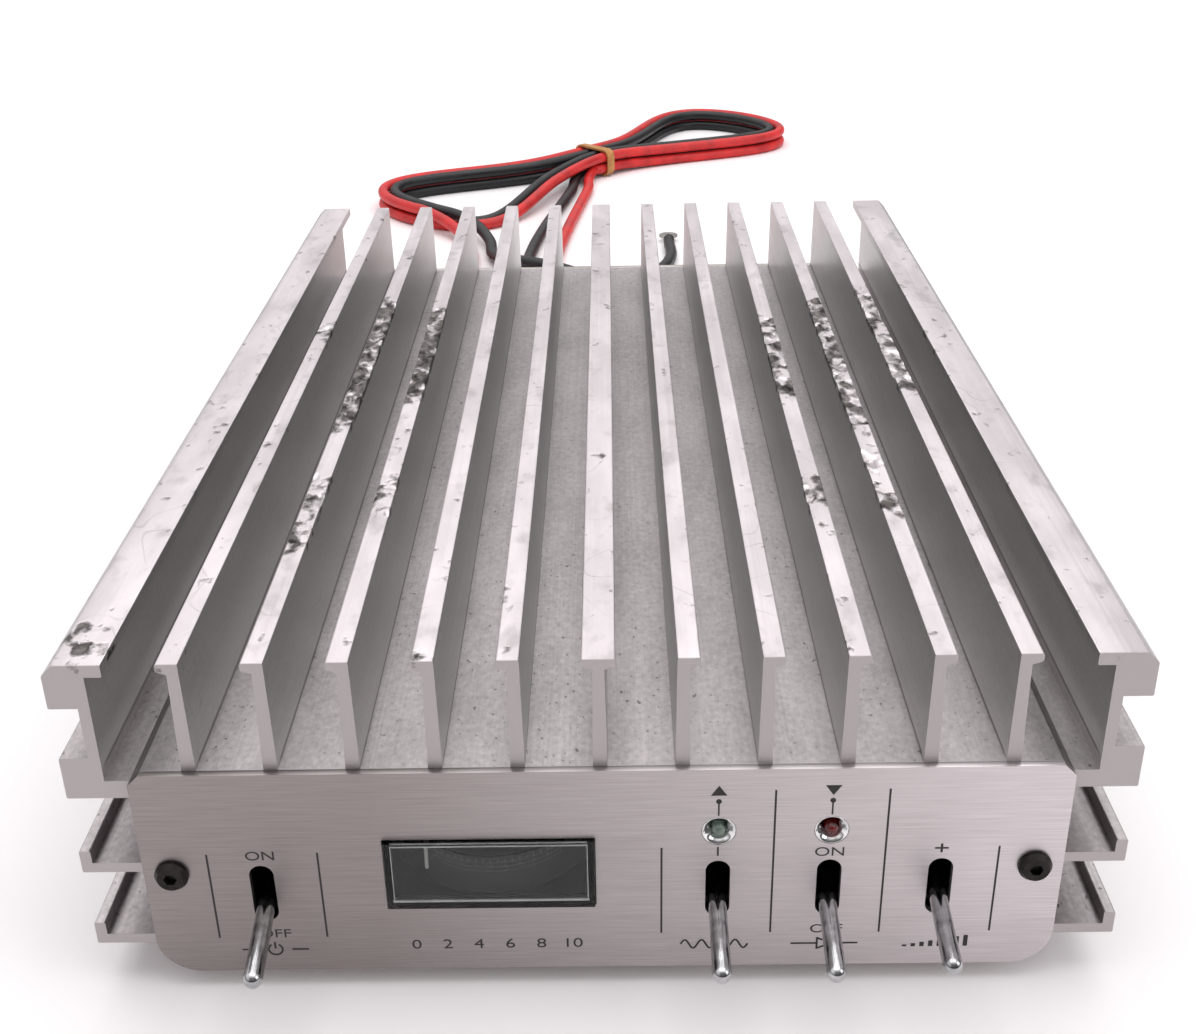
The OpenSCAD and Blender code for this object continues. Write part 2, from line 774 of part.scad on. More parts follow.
// A curved scale about the spindle, carried back to the movement at both ends
module meter_scale() color("darkslategrey") place() {
    arm_x = scale_half_w + scale_arm_out - scale_arm_t / 2;
    arm_y = sqrt(pow(scale_r, 2) - pow(scale_half_w, 2)) + scale_arm_t;
    translate([meter_x, spindle_y, scale_bottom])
        linear_extrude(scale_top - scale_bottom) {
            intersection() {
                difference() {
                    circle(scale_r);
                    circle(scale_r - scale_t);
                }
                translate([-scale_r, -scale_r - cut])
                    square([2 * scale_r, scale_r + cut - arm_y + scale_arm_t / 2]);
            }
            for (s = [-1, 1])
                translate([s * arm_x - scale_arm_t / 2, -arm_y])
                    square([scale_arm_t, meter_l - spindle_y + arm_y]);
        }
}

// The magnet housing behind the case, with a fork that holds the pointer's spindle
module meter_movement() color("black") place() {
    translate([meter_x, 0, meter_mid_z]) {
        upright(meter_l, meter_l + fork_t)
            square([meter_w, meter_h], center = true);
        upright(meter_l + fork_t, meter_l + movement_l)
            square([movement_w, meter_h - 2 * meter_wall], center = true);
    }
    for (z = [arm_z - hub_h - fork_gap - fork_t, arm_z + arm_t + fork_gap])
        translate([meter_x - fork_w / 2, spindle_y - fork_w / 2, z])
            cube([fork_w, meter_l - spindle_y + fork_w / 2, fork_t]);
    translate([meter_x, spindle_y, arm_z - hub_h - fork_gap - fork_t / 2])
        cylinder(h = hub_h + arm_t + 2 * fork_gap + fork_t, r = spindle_r);
}

// Hub, arm over the scale's upper edge and needle in front of it, at the left end of the swing
module meter_pointer() color("ivory") place() {
    translate([meter_x, spindle_y, 0])
        rotate([0, 0, -90 - pointer_swing]) {
            difference() {
                translate([0, 0, arm_z - hub_h])
                    cylinder(h = hub_h + arm_t, r = hub_r);
                translate([0, 0, arm_z - hub_h - cut])
                    cylinder(h = hub_h + arm_t + 2 * cut, r = spindle_r + pivot_fit);
            }
            translate([hub_r - arm_sink, -needle_w / 2, arm_z])
                cube([pointer_r - hub_r + arm_sink, needle_w, arm_t]);
            translate([pointer_r - needle_w, -needle_w / 2, arm_z + arm_t - needle_h])
                cube([needle_w, needle_w, needle_h]);
        }
}

// Polished cones round the lamps, flanged behind the panel
module lamp_bezels() color("white") place() {
    flange_r = bezel_r + bezel_flange;
    flange_end = front_panel_t + bezel_flange_t;
    bore_r = lamp_r + screw_fit;
    bezel_end = front_panel_t + bezel_l;
    for (x = lamps)
        translate([x, face_y, lamp_level])
            rotate([-90, 0, 0])
                rotate_extrude()
                    polygon([[bezel_r - bezel_rim, 0], [bezel_r, 0], [bezel_r, front_panel_t],
                        [flange_r, front_panel_t], [flange_r, flange_end], [bezel_r, flange_end],
                        [bezel_r, bezel_end], [bore_r, bezel_end], [bore_r, bezel_cone_l]]);
}

// A lamp with its flange against the bezel's rear end
module lamp(x) place() {
    translate([x, bezel_l, lamp_level])
        rotate([90, 0, 0]) {
            translate([0, 0, -lamp_flange_t])
                cylinder(h = lamp_flange_t, r = lamp_r + lamp_flange);
            cylinder(h = lamp_l, r = lamp_r);
            translate([0, 0, lamp_l])
                intersection() {
                    sphere(lamp_r);
                    cylinder(h = lamp_r, r = lamp_r);
                }
            for (u = [-1, 1])
                translate([u * lamp_leg_x, 0, -lamp_flange_t - lamp_leg_l])
                    cylinder(h = lamp_leg_l, r = lamp_leg_r);
        }
}
module left_lamp() color("darkseagreen") lamp(lamps[0]);
module right_lamp() color("darkred") lamp(lamps[1]);

module main_board() color("darkgreen") place() {
    difference() {
        translate([-board_w / 2, board_front_y, board_z])
            cube([board_w, board_rear_y - board_front_y, board_t]);
        for (p = transistors)
            translate([p[0] - cutout_w / 2, p[1] - cutout_l / 2, board_z - cut])
                cube([cutout_w, cutout_l, board_t + 2 * cut]);
        for (p = standoffs)
            translate([p[0], p[1], board_z - cut])
                cylinder(h = board_t + 2 * cut, r = m3_r + screw_fit);
    }
}

module board_standoffs() color("goldenrod") place() {
    for (p = standoffs)
        translate([p[0], p[1], board_top_z])
            difference() {
                cylinder(h = standoff_h, r = standoff_r, $fn = 6);
                translate([0, 0, -cut])
                    cylinder(h = standoff_h + 2 * cut, r = m3_r + screw_fit);
            }
}

module board_screws() color("grey") place() {
    for (p = standoffs)
        translate([p[0], p[1], board_z])
            screw(m3_head_r, m3_head_h, m3_r, board_t + standoff_h + thread_depth - screw_end);
}

// Flanged power transistors under the fin plate, their tabs against the board's lower face
module rf_transistors() color("khaki") place() {
    for (p = transistors)
        translate([p[0], p[1], 0]) {
            difference() {
                translate([-transistor_w / 2, -transistor_l / 2, ceiling_z - transistor_flange_t])
                    cube([transistor_w, transistor_l, transistor_flange_t]);
                for (s = [-1, 1])
                    translate([0, s * transistor_screw_y, ceiling_z - transistor_flange_t - cut])
                        cylinder(h = transistor_flange_t + 2 * cut, r = m3_r + screw_fit);
            }
            translate([-transistor_w / 2, -transistor_w / 2, board_z - cap_drop])
                cube([transistor_w, transistor_w, ceiling_z - transistor_flange_t - board_z + cap_drop]);
            translate([-tab_l, -tab_w / 2, board_z - tab_t])
                cube([2 * tab_l, tab_w, tab_t]);
        }
}

module transistor_screws() color("grey") place() {
    for (p = transistors, s = [-1, 1])
        translate([p[0], p[1] + s * transistor_screw_y, ceiling_z - transistor_flange_t])
            screw(m3_head_r, m3_head_h, m3_r, transistor_flange_t + thread_depth - screw_end);
}

// Parts under the board, each against its lower face
module hang(p, h) {
    translate([p[0], p[1], board_z - h])
        children();
}

module relays() color("saddlebrown") place() {
    for (p = relays_at)
        hang(p, relay_h)
            translate([-relay_w / 2, -relay_l / 2, 0])
                cube([relay_w, relay_l, relay_h]);
}

module trimmer_capacitors() color("tan") place() {
    for (p = trimmers)
        hang(p, trimmer_h)
            difference() {
                cylinder(h = trimmer_h, r = trimmer_r);
                cube([trimmer_slot_l, trimmer_slot_w, 2 * cut], center = true);
            }
}

module supply_capacitor() color("navy") place() {
    hang(capacitor_at, capacitor_h)
        cylinder(h = capacitor_h, r = capacitor_r);
}

// A round core or coil with a bore right through
module hollow_core(h, r, bore_r) {
    difference() {
        cylinder(h = h, r = r);
        translate([0, 0, -cut])
            cylinder(h = h + 2 * cut, r = bore_r);
    }
}

module choke_core() color("darkslategrey") place() {
    hang(choke_at, choke_h)
        hollow_core(choke_h, choke_r, choke_bore_r);
}

module output_coils() color("peru") place() {
    for (p = coils)
        hang(p, coil_h)
            hollow_core(coil_h, coil_r, coil_bore_r);
}

// A sheet-metal box, open against the board
module preamp_shield() color("lightgrey") place() {
    hang(shield_at, shield_h)
        difference() {
            translate([-shield_w / 2, -shield_l / 2, 0])
                cube([shield_w, shield_l, shield_h]);
            translate([shield_t - shield_w / 2, shield_t - shield_l / 2, shield_t])
                cube([shield_w - 2 * shield_t, shield_l - 2 * shield_t, shield_h]);
        }
}

// Places of the sockets' screws
socket_screw_places = [for (s = [-1, 1], u = [-1, 1], v = [-1, 1])
    [s * socket_x + u * socket_screw_x, socket_level + v * socket_screw_x]];

module rear_panel() color("silver") place() {
    difference() {
        upright(heatsink_l, rear_y)
            box_outline();
        panel_screw_holes(heatsink_l - cut, rear_y + cut);
        for (s = [-1, 1])
            bar_y(s * socket_x, socket_level, heatsink_l - cut, rear_y + cut, barrel_r + panel_fit);
        for (p = socket_screw_places)
            bar_y(p[0], p[1], heatsink_l - cut, rear_y + cut, m3_r + screw_fit);
        for (x = [red_x, black_x])
            bar_y(x, lead_z, heatsink_l - cut, rear_y + cut, grommet_neck_r + screw_fit);
    }
}

module rear_panel_screws() color("black") place() {
    for (s = [-1, 1])
        translate([s * panel_screw_x, rear_y, screw_z])
            rotate([90, 0, 0])
                button_head_screw();
}

// A coaxial socket: square flange outside the panel, threaded barrel and plain tail through the panel
module socket(x) color("silver") place() {
    difference() {
        union() {
            translate([x - socket_flange_w / 2, rear_y, socket_level - socket_flange_w / 2])
                cube([socket_flange_w, socket_flange_t, socket_flange_w]);
            bar_y(x, socket_level, heatsink_l - socket_tail, socket_end_y, barrel_r);
        }
        bar_y(x, socket_level, heatsink_l - socket_tail - cut, socket_end_y + cut, socket_bore_r);
        for (u = [-1, 1], v = [-1, 1])
            bar_y(x + u * socket_screw_x, socket_level + v * socket_screw_x, rear_y - cut,
                socket_flange_y + cut, m3_r + screw_fit);
    }
}
module antenna_socket() { socket(socket_x); }
module radio_socket() { socket(-socket_x); }

module socket_insulators() color("ivory") place() {
    for (s = [-1, 1])
        difference() {
            bar_y(s * socket_x, socket_level, heatsink_l - 2 * socket_tail, socket_end_y - socket_mouth,
                socket_bore_r - screw_fit / 2);
            bar_y(s * socket_x, socket_level, heatsink_l - 3 * socket_tail, socket_end_y,
                contact_r + screw_fit / 2);
        }
}

module socket_contacts() color("gold") place() {
    for (s = [-1, 1])
        difference() {
            bar_y(s * socket_x, socket_level, heatsink_l - 3 * socket_tail, socket_end_y - socket_mouth,
                contact_r);
            bar_y(s * socket_x, socket_level, heatsink_l, socket_end_y, contact_bore_r);
        }
}

module socket_screws() color("grey") place() {
    for (p = socket_screw_places)
        translate([p[0], socket_flange_y, p[1]])
            rotate([90, 0, 0])
                screw(m3_head_r, m3_head_h, m3_r, socket_flange_t + rear_panel_t + m3_nut_h + screw_end);
}

module socket_nuts() color("grey") place() {
    for (p = socket_screw_places)
        translate([p[0], heatsink_l, p[1]])
            rotate([90, 0, 0])
                difference() {
                    cylinder(h = m3_nut_h, r = m3_nut_r, $fn = 6);
                    translate([0, 0, -cut])
                        cylinder(h = m3_nut_h + 2 * cut, r = m3_r + screw_fit);
                }
}

// Rubber grommets that grip the panel between two flanges
module lead_grommets() color([0.15, 0.15, 0.15]) place() {
    for (x = [red_x, black_x])
        translate([x, heatsink_l - grommet_t, lead_z])
            rotate([-90, 0, 0])
                rotate_extrude()
                    polygon([[lead_r + screw_fit, 0], [grommet_r, 0], [grommet_r, grommet_t],
                        [grommet_neck_r, grommet_t], [grommet_neck_r, grommet_t + rear_panel_t],
                        [grommet_r, grommet_t + rear_panel_t], [grommet_r, 2 * grommet_t + rear_panel_t],
                        [lead_r + screw_fit, 2 * grommet_t + rear_panel_t]]);
}

module bottom_cover() color("silver") place() {
    difference() {
        translate([panel_fit - cover_x, 0, base_z])
            cube([2 * (cover_x - panel_fit), heatsink_l, cover_t]);
        for (p = concat(cover_holes, feet))
            translate([p[0], p[1], base_z - cut])
                cylinder(h = cover_t + 2 * cut, r = m3_r + screw_fit);
    }
}

module cover_screws() color("grey") place() {
    for (p = cover_holes)
        translate([p[0], p[1], base_z])
            screw(m3_head_r, m3_head_h, m3_r, cover_t + flange_t);
}

module rubber_feet() color([0.12, 0.12, 0.12]) place() {
    for (p = feet)
        translate([p[0], p[1], 0])
            difference() {
                cylinder(h = foot_h, r = foot_r);
                translate([0, 0, -cut])
                    cylinder(h = foot_recess + cut, r = foot_recess_r);
                cylinder(h = foot_h + cut, r = m3_r + screw_fit);
            }
}

module foot_screws() color("grey") place() {
    for (p = feet)
        translate([p[0], p[1], foot_recess])
            screw(m3_head_r, foot_head_h, m3_r, foot_h - foot_recess + cover_t + m3_nut_h + screw_end);
}

module foot_nuts() color("grey") place() {
    for (p = feet)
        translate([p[0], p[1], flange_z])
            difference() {
                cylinder(h = m3_nut_h, r = m3_nut_r, $fn = 6);
                translate([0, 0, -cut])
                    cylinder(h = m3_nut_h + 2 * cut, r = m3_r + screw_fit);
            }
}

// Unit vector across a level direction of travel, and the ring of points about a path's point
function path_way(path, i, first, last) = let (n = len(path) - 1,
        v = i == 0 ? first : i == n ? last : path[i + 1] - path[i - 1])
    v / norm(v);
function ring(p, way, r, sides) = let (across = cross(way, [0, 0, 1]) / norm(cross(way, [0, 0, 1])),
        up = cross(across, way))
    [for (k = [0 : sides - 1]) let (a = 360 * (k + 0.5) / sides) p + r * (cos(a) * across + sin(a) * up)];

// A round lead along a path, its two ends square to the given directions
module tube(path, sides, first, last) {
    n = len(path);
    points = [for (i = [0 : n - 1]) each ring(path[i], path_way(path, i, first, last), lead_r, sides)];
    walls = [for (i = [0 : n - 2], k = [0 : sides - 1])
        let (a = i * sides + k, b = i * sides + (k + 1) % sides)
        each [[a, a + sides, b], [b, a + sides, b + sides]]];
    caps = [for (k = [1 : sides - 2])
        each [[0, k, k + 1], [(n - 1) * sides, (n - 1) * sides + k + 1, (n - 1) * sides + k]]];
    polyhedron(points = points, faces = concat(walls, caps), convexity = 10);
}

// A free stretch from inside the rear panel to the hank's start
lead_sides = 8;
module lead(x, route, side) place() {
    start = hank_start_point(side);
    path = concat([[x, heatsink_l - 2 * grommet_t, lead_z]],
        smooth(concat(route, [start - lead_d * hank_way(0), start])));
    tube(path, lead_sides, [0, 1, 0], hank_way(0));
}
module red_lead() color("red") lead(red_x, red_route, 1);
module black_lead() color([0.1, 0.1, 0.1]) lead(black_x, black_route, -1);

module hank(side) place() {
    tube(hank_path(side, hank_rings * hank_loops), hank_sides, hank_way(0), hank_way(hank_end));
}
module red_hank() color("red") hank(1);
module black_hank() color([0.1, 0.1, 0.1]) hank(-1);

// A lead's end from the hank to its terminal
function end_way(route) = let (n = len(route) - 1, v = route[n] - route[n - 1]) v / norm(v);
module lead_end(route, side) place() {
    start = hank_end_point(side);
    path = smooth(concat([start, start + 2 * lead_d * hank_way(hank_end)], route));
    tube(path, lead_sides, hank_way(hank_end), end_way(route));
}
module red_lead_end() color("red") lead_end(red_end_route, 1);
module black_lead_end() color([0.1, 0.1, 0.1]) lead_end(black_end_route, -1);

// A crimped ring terminal beyond a lead's end
sleeve_l = 9;
tongue_l = 6;
tongue_w = 4;
ring_r = 4.2;
ring_hole_r = 2.2;
tongue_t = 0.9;
tongue_sink = 1;
module terminal(route) {
    way = end_way(route);
    translate(route[len(route) - 1])
        rotate([0, 0, atan2(way[1], way[0])]) {
            rotate([0, 90, 0])
                cylinder(h = sleeve_l, r = lead_r);
            difference() {
                union() {
                    translate([sleeve_l - tongue_sink, -tongue_w / 2, -tongue_t / 2])
                        cube([tongue_l + tongue_sink, tongue_w, tongue_t]);
                    translate([sleeve_l + tongue_l, 0, -tongue_t / 2])
                        cylinder(h = tongue_t, r = ring_r);
                }
                translate([sleeve_l + tongue_l, 0, -tongue_t])
                    cylinder(h = 2 * tongue_t, r = ring_hole_r);
            }
        }
}
module lead_terminals() color("silver") place() {
    terminal(red_end_route);
    terminal(black_end_route);
}

// The band round the hank's waist
module rubber_band() color("peru") place() {
    inner_r = lead_r + band_gap;
    w = 3 * hank_step + 2 * inner_r;
    h = hank_step + 2 * inner_r;
    translate([hank_mid[0], hank_mid[1], lead_r + band_lift + hank_step / 2])
        rotate([90, 0, 90 + hank_turn])
            linear_extrude(band_w, center = true)
                difference() {
                    round_rect(w + 2 * band_t, h + 2 * band_t, inner_r + band_t);
                    round_rect(w, h, inner_r);
                }
}

heatsink();
front_panel();
front_panel_screws();
switch_bracket();
bracket_screws();
power_switch_body();
mode_switch_body();
preamp_switch_body();
level_switch_body();
switch_bushings();
switch_nuts();
power_lever();
mode_lever();
preamp_lever();
level_lever();
meter_case();
meter_scale();
meter_movement();
meter_pointer();
lamp_bezels();
left_lamp();
right_lamp();
main_board();
board_standoffs();
board_screws();
rf_transistors();
transistor_screws();
relays();
trimmer_capacitors();
supply_capacitor();
choke_core();
output_coils();
preamp_shield();
rear_panel();
rear_panel_screws();
antenna_socket();
radio_socket();
socket_insulators();
socket_contacts();
socket_screws();
socket_nuts();
lead_grommets();
bottom_cover();
cover_screws();
rubber_feet();
foot_screws();
foot_nuts();
red_lead();
black_lead();
red_hank();
black_hank();
red_lead_end();
black_lead_end();
lead_terminals();
rubber_band();
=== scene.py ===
"""Looks of a finned VHF power amplifier: bare aluminium, chrome levers, a clear meter and tied supply leads."""

import json
import math

import bmesh
import bpy
from mathutils import Matrix, Vector, noise


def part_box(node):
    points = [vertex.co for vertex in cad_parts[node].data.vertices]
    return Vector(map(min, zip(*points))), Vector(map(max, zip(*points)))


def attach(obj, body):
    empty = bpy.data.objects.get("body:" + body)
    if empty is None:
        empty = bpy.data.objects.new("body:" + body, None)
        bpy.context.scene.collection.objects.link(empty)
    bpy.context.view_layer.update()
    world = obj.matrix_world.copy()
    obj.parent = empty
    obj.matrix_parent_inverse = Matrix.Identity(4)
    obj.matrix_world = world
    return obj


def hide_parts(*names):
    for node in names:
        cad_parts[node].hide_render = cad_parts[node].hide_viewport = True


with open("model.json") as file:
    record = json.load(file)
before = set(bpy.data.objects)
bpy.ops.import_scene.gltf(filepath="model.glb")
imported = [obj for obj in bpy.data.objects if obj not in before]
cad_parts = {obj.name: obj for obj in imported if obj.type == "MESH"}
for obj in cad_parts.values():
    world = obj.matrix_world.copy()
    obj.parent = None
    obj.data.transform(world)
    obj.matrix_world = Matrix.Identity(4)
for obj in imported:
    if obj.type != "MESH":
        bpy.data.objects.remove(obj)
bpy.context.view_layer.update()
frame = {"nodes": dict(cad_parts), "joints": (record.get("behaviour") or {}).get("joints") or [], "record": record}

MM = 0.001
CASE = "case"
NODES = frame["nodes"]
JOINTS = {joint["name"]: joint for joint in frame["joints"]}

# Places are in millimetres from the extrusion's front end, as in the part's own drawing
heatsink_low, heatsink_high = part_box("heatsink")
panel_face_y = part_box("front_panel")[0].y


def at(x, y, z):
    """A drawing place in millimetres, as a point of the frame in metres."""
    return Vector((x * MM, heatsink_low.y + y * MM, z * MM))


def put(name, data):
    """A new object in the scene."""
    made = bpy.data.objects.new(name, data)
    bpy.context.scene.collection.objects.link(made)
    return made


# Camera, fitted to a picture of 1200 by 1034 pixels
FRAME_W = 1200
FOCAL_PX = 1518.93
SENSOR_W = 36.0
CLIP_START = 0.01
CAMERA_AT = at(3.04, -209.70, 201.19)
PITCH, ROLL, YAW = -0.4706, -0.0185, -0.0109


def make_camera():
    """The camera at its fitted place, turned by yaw, pitch and roll."""
    forward = Vector((math.sin(YAW) * math.cos(PITCH), math.cos(YAW) * math.cos(PITCH), math.sin(PITCH)))
    level = Vector((math.cos(YAW), -math.sin(YAW), 0))
    upward = level.cross(forward)
    right = math.cos(ROLL) * level + math.sin(ROLL) * upward
    up = math.cos(ROLL) * upward - math.sin(ROLL) * level
    lens = bpy.data.cameras.new("camera")
    lens.sensor_fit = "HORIZONTAL"
    lens.sensor_width = SENSOR_W
    lens.lens = SENSOR_W * FOCAL_PX / FRAME_W
    lens.clip_start = CLIP_START
    camera = put("camera", lens)
    turn = Matrix((right, up, -forward)).transposed().to_4x4()
    camera.matrix_world = Matrix.Translation(CAMERA_AT) @ turn
    bpy.context.scene.camera = camera


make_camera()
bpy.context.scene.view_settings.view_transform = "Standard"


# Shader and geometry nodes

def srgb(code):
    """Linear colour of an sRGB hex value."""
    parts = [int(code[i:i + 2], 16) / 255 for i in (1, 3, 5)]
    return [p / 12.92 if p <= 0.04045 else ((p + 0.055) / 1.055) ** 2.4 for p in parts] + [1.0]


def feed(tree, node, inputs):
    """Gives a node its inputs, by name or in the order of its live sockets: a node or a socket is linked,
    a hex colour is turned to linear, and any other value is set."""
    named = isinstance(inputs, dict)
    sockets = node.inputs if named else [socket for socket in node.inputs if socket.enabled]
    for key, value in inputs.items() if named else enumerate(inputs):
        if isinstance(value, bpy.types.Node):
            value = next(socket for socket in value.outputs if socket.enabled)
        if isinstance(value, bpy.types.NodeSocket):
            tree.links.new(value, sockets[key])
        else:
            sockets[key].default_value = srgb(value) if isinstance(value, str) else value


def add(tree, kind, inputs=(), **settings):
    """Adds one node with its settings and inputs."""
    node = tree.nodes.new(kind)
    for name, value in settings.items():
        setattr(node, name, value)
    feed(tree, node, inputs)
    return node


def start_material(name, colour, metallic, roughness, **more):
    """A new material with its shader, whose plain values sit on the shader's own sockets."""
    material = bpy.data.materials.new(name)
    material.use_nodes = True
    tree = material.node_tree
    tree.nodes.clear()
    values = {"Base Color": colour, "Metallic": metallic, "Roughness": roughness}
    values.update({key.replace("_", " "): value for key, value in more.items()})
    shader = add(tree, "ShaderNodeBsdfPrincipled", values)
    add(tree, "ShaderNodeOutputMaterial", {"Surface": shader})
    return material, tree, shader


def grain(tree, size_mm, detail=4.0, shift=0.0):
    """A pattern in the object's own directions, with features of the given sizes along X, Y and Z."""
    place = add(tree, "ShaderNodeTexCoord").outputs["Object"]
    scaled = add(tree, "ShaderNodeMapping", {
        "Vector": place, "Location": (shift, shift, shift), "Scale": [1 / (s * MM) for s in size_mm]})
    return add(tree, "ShaderNodeTexNoise", {"Vector": scaled, "Scale": 1.0, "Detail": detail})


def layered(tree, colour, *layers):
    """A colour with tints laid over it in turn. Each layer is a tint and the shares whose product covers."""
    for tint, share, *masks in layers:
        for mask in masks:
            share = add(tree, "ShaderNodeMath", [share, mask], operation="MULTIPLY")
        colour = add(tree, "ShaderNodeMix", [share, colour, tint], data_type="RGBA")
    return colour


# Knocked stretches of the fins' tops: x, from and to along the fin, and how badly
KNOCKS = [
    (-57, 92, 182, 1.0), (-57, 38, 79, 0.6), (-43.5, 108, 178, 0.95), (-44, 45, 74, 0.35),
    (43, 104, 168, 0.7), (42.5, 50, 70, 0.65), (57, 88, 183, 0.8), (57.5, 48, 86, 0.5),
    (70.7, 104, 188, 0.75), (-70, 148, 168, 0.5), (83.7, 146, 156, 0.4), (-86, 0, 14, 0.65)]
KNOCK_HALF_W = 6
# Floor of the channels between the fins
FLOOR_Z = 47.3


def knocked_fins(tree, place):
    """How badly the fins are knocked at a place: each stretch is an oval that fades at its rim."""
    knocked = 0.0
    for x, start, end, how_badly in KNOCKS:
        middle = at(x, (start + end) / 2, 0)
        scale = Vector((1 / (KNOCK_HALF_W * MM), 2 / ((end - start) * MM), 0))
        away = add(tree, "ShaderNodeVectorMath", [place, scale, -middle * scale], operation="MULTIPLY_ADD")
        away = add(tree, "ShaderNodeVectorMath", [away], operation="LENGTH")
        near = add(tree, "ShaderNodeMapRange", [away, 1.12, 0.8, 0.0, how_badly])
        knocked = add(tree, "ShaderNodeMath", [knocked, near], operation="MAXIMUM")
    return knocked


def mill_finish_aluminium():
    """Mill-finish aluminium, extruded and sawn off: soft silver with faint die lines from front to rear,
    duller and specked in the channels, rubbed bright on the fin tops, which are gouged in places.
    The fins' sides are made brighter with painted light, and painted shade darkens each fin's root."""
    material, tree, shader = start_material("mill_finish_aluminium", "#c2bcbd", 1.0, 0.42)
    place = add(tree, "ShaderNodeTexCoord").outputs["Object"]
    axes = add(tree, "ShaderNodeSeparateXYZ", [place]).outputs
    normal = add(tree, "ShaderNodeNewGeometry").outputs["Normal"]
    across = add(tree, "ShaderNodeSeparateXYZ", [normal]).outputs["X"]
    top, front, floor = heatsink_high.z, heatsink_low.y, FLOOR_Z * MM

    lines = grain(tree, (0.35, 90, 0.35))
    lined = add(tree, "ShaderNodeMapRange", [lines, 0.3, 0.7, 0.0, 0.16])
    cloud = grain(tree, (9, 26, 9), 5.0)
    clouded = add(tree, "ShaderNodeMapRange", [cloud, 0.35, 0.65])
    mottle = grain(tree, (0.9, 1.3, 0.9), 6.0, 9.0)
    pale_spots = add(tree, "ShaderNodeMapRange", [mottle, 0.5, 0.72, 0.0, 0.3])
    dark_spots = add(tree, "ShaderNodeMapRange", [mottle, 0.48, 0.3, 0.0, 0.22])
    specks = add(tree, "ShaderNodeMapRange", [grain(tree, (1.1, 1.6, 1.1), 2.0, 3.0), 0.64, 0.72])
    dirty = add(tree, "ShaderNodeMapRange", [grain(tree, (14, 30, 14), 2.0, 8.0), 0.42, 0.6])

    # Out of the die the fins' sides are smoother than the channels. Their brighter, cooler colour is painted light
    sideways = add(tree, "ShaderNodeMath", [across], operation="ABSOLUTE")
    upright = add(tree, "ShaderNodeMapRange", [sideways, 0.6, 0.9])
    above_floor = add(tree, "ShaderNodeMapRange", [axes["Z"], floor, floor + 1.0 * MM])
    side = add(tree, "ShaderNodeMath", [upright, above_floor], operation="MULTIPLY")

    # Painted shade: a thin dark line at each fin's root, in the crease by the channel floor, from just behind the
    # front end
    root_shade_low = add(tree, "ShaderNodeMapRange", [axes["Z"], floor + 0.05 * MM, floor + 0.15 * MM])
    root_shade_high = add(tree, "ShaderNodeMapRange", [axes["Z"], floor + 1.0 * MM, floor + 0.6 * MM])
    behind_front = add(tree, "ShaderNodeMapRange", [axes["Y"], front + 0.5 * MM, front + 3.0 * MM])

    # Tops are rubbed and smudged. Hairline scratches run where a slow pattern crosses its middle value
    fin_top = add(tree, "ShaderNodeMapRange", [axes["Z"], top - 0.5 * MM, top - 0.2 * MM])
    rubbed = layered(tree, "#cec8ca", ("#e0dadc", add(tree, "ShaderNodeMapRange", [cloud, 0.4, 0.65])))
    smudged = add(tree, "ShaderNodeMapRange", [grain(tree, (5, 9, 5), 4.0, 20.0), 0.56, 0.74, 0.0, 0.4])
    slow = grain(tree, (14, 20, 14), 0.5, 12.0)
    hairline = add(tree, "ShaderNodeMath", [slow, 0.5, 0.004], operation="COMPARE")
    scratched = add(tree, "ShaderNodeMapRange", [grain(tree, (16, 30, 16), 2.0, 15.0), 0.48, 0.6, 0.0, 0.24])

    # The sawn front end is even and dull, and bruises where the fins were knocked are dull and dark
    front_end = add(tree, "ShaderNodeMapRange", [axes["Y"], front + 0.35 * MM, front + 0.1 * MM])
    rough = grain(tree, (3.2, 4.6, 3.2), 6.0, 1.0)
    bruised = add(tree, "ShaderNodeMath", [knocked_fins(tree, place), 0.28, rough], operation="MULTIPLY_ADD")
    bruised = add(tree, "ShaderNodeMapRange", [bruised, 0.64, 0.76])
    bruise_low = add(tree, "ShaderNodeMapRange", [axes["Z"], top - 1.6 * MM, top - 1.2 * MM])
    gouges = add(tree, "ShaderNodeMath", [bruised, bruise_low], operation="MULTIPLY")
    deep = add(tree, "ShaderNodeMapRange", [grain(tree, (2.2, 3.2, 2.2), 3.0, 5.0), 0.35, 0.65])
    bruise = layered(tree, "#2c2927", ("#7a7573", deep))

    # Painted light in this colour: the brighter fin sides, and the painted shade line at the fins' roots
    colour = layered(
        tree, "#aea9aa", ("#bdb8b9", clouded), ("#8f8788", lined), ("#dcd6d8", pale_spots),
        ("#7c7675", dark_spots), ("#4d4745", specks, dirty, 0.75), ("#d3d4d2", side, 0.6),
        ("#4a4444", root_shade_low, root_shade_high, behind_front, 0.65), (rubbed, fin_top), ("#8b8686", smudged, fin_top),
        ("#7d7776", hairline, scratched, fin_top), ("#b8b3b3", front_end), (bruise, gouges))
    drawn = add(tree, "ShaderNodeMapRange", [lines, 0.3, 0.7, 0.38, 0.48])
    worn = add(tree, "ShaderNodeMath", [front_end, gouges], operation="MAXIMUM")
    worn = add(tree, "ShaderNodeMath", [worn, 0.6], operation="MULTIPLY")
    dulled = add(tree, "ShaderNodeMath", [drawn, worn], operation="MAXIMUM")
    smoothed = add(tree, "ShaderNodeMapRange", [side, 0.0, 1.0, 1.0, 0.8])
    # Die lines are a fifth as deep as the bruises
    sunk = add(tree, "ShaderNodeMath", [gouges, -0.5], operation="MULTIPLY")
    relief = add(tree, "ShaderNodeMath", [lines, 0.1, sunk], operation="MULTIPLY_ADD")
    feed(tree, shader, {
        "Base Color": colour,
        "Roughness": add(tree, "ShaderNodeMath", [dulled, smoothed], operation="MULTIPLY"),
        "Normal": add(tree, "ShaderNodeBump", {"Height": relief, "Distance": 0.35 * MM, "Strength": 0.7})})
    return material


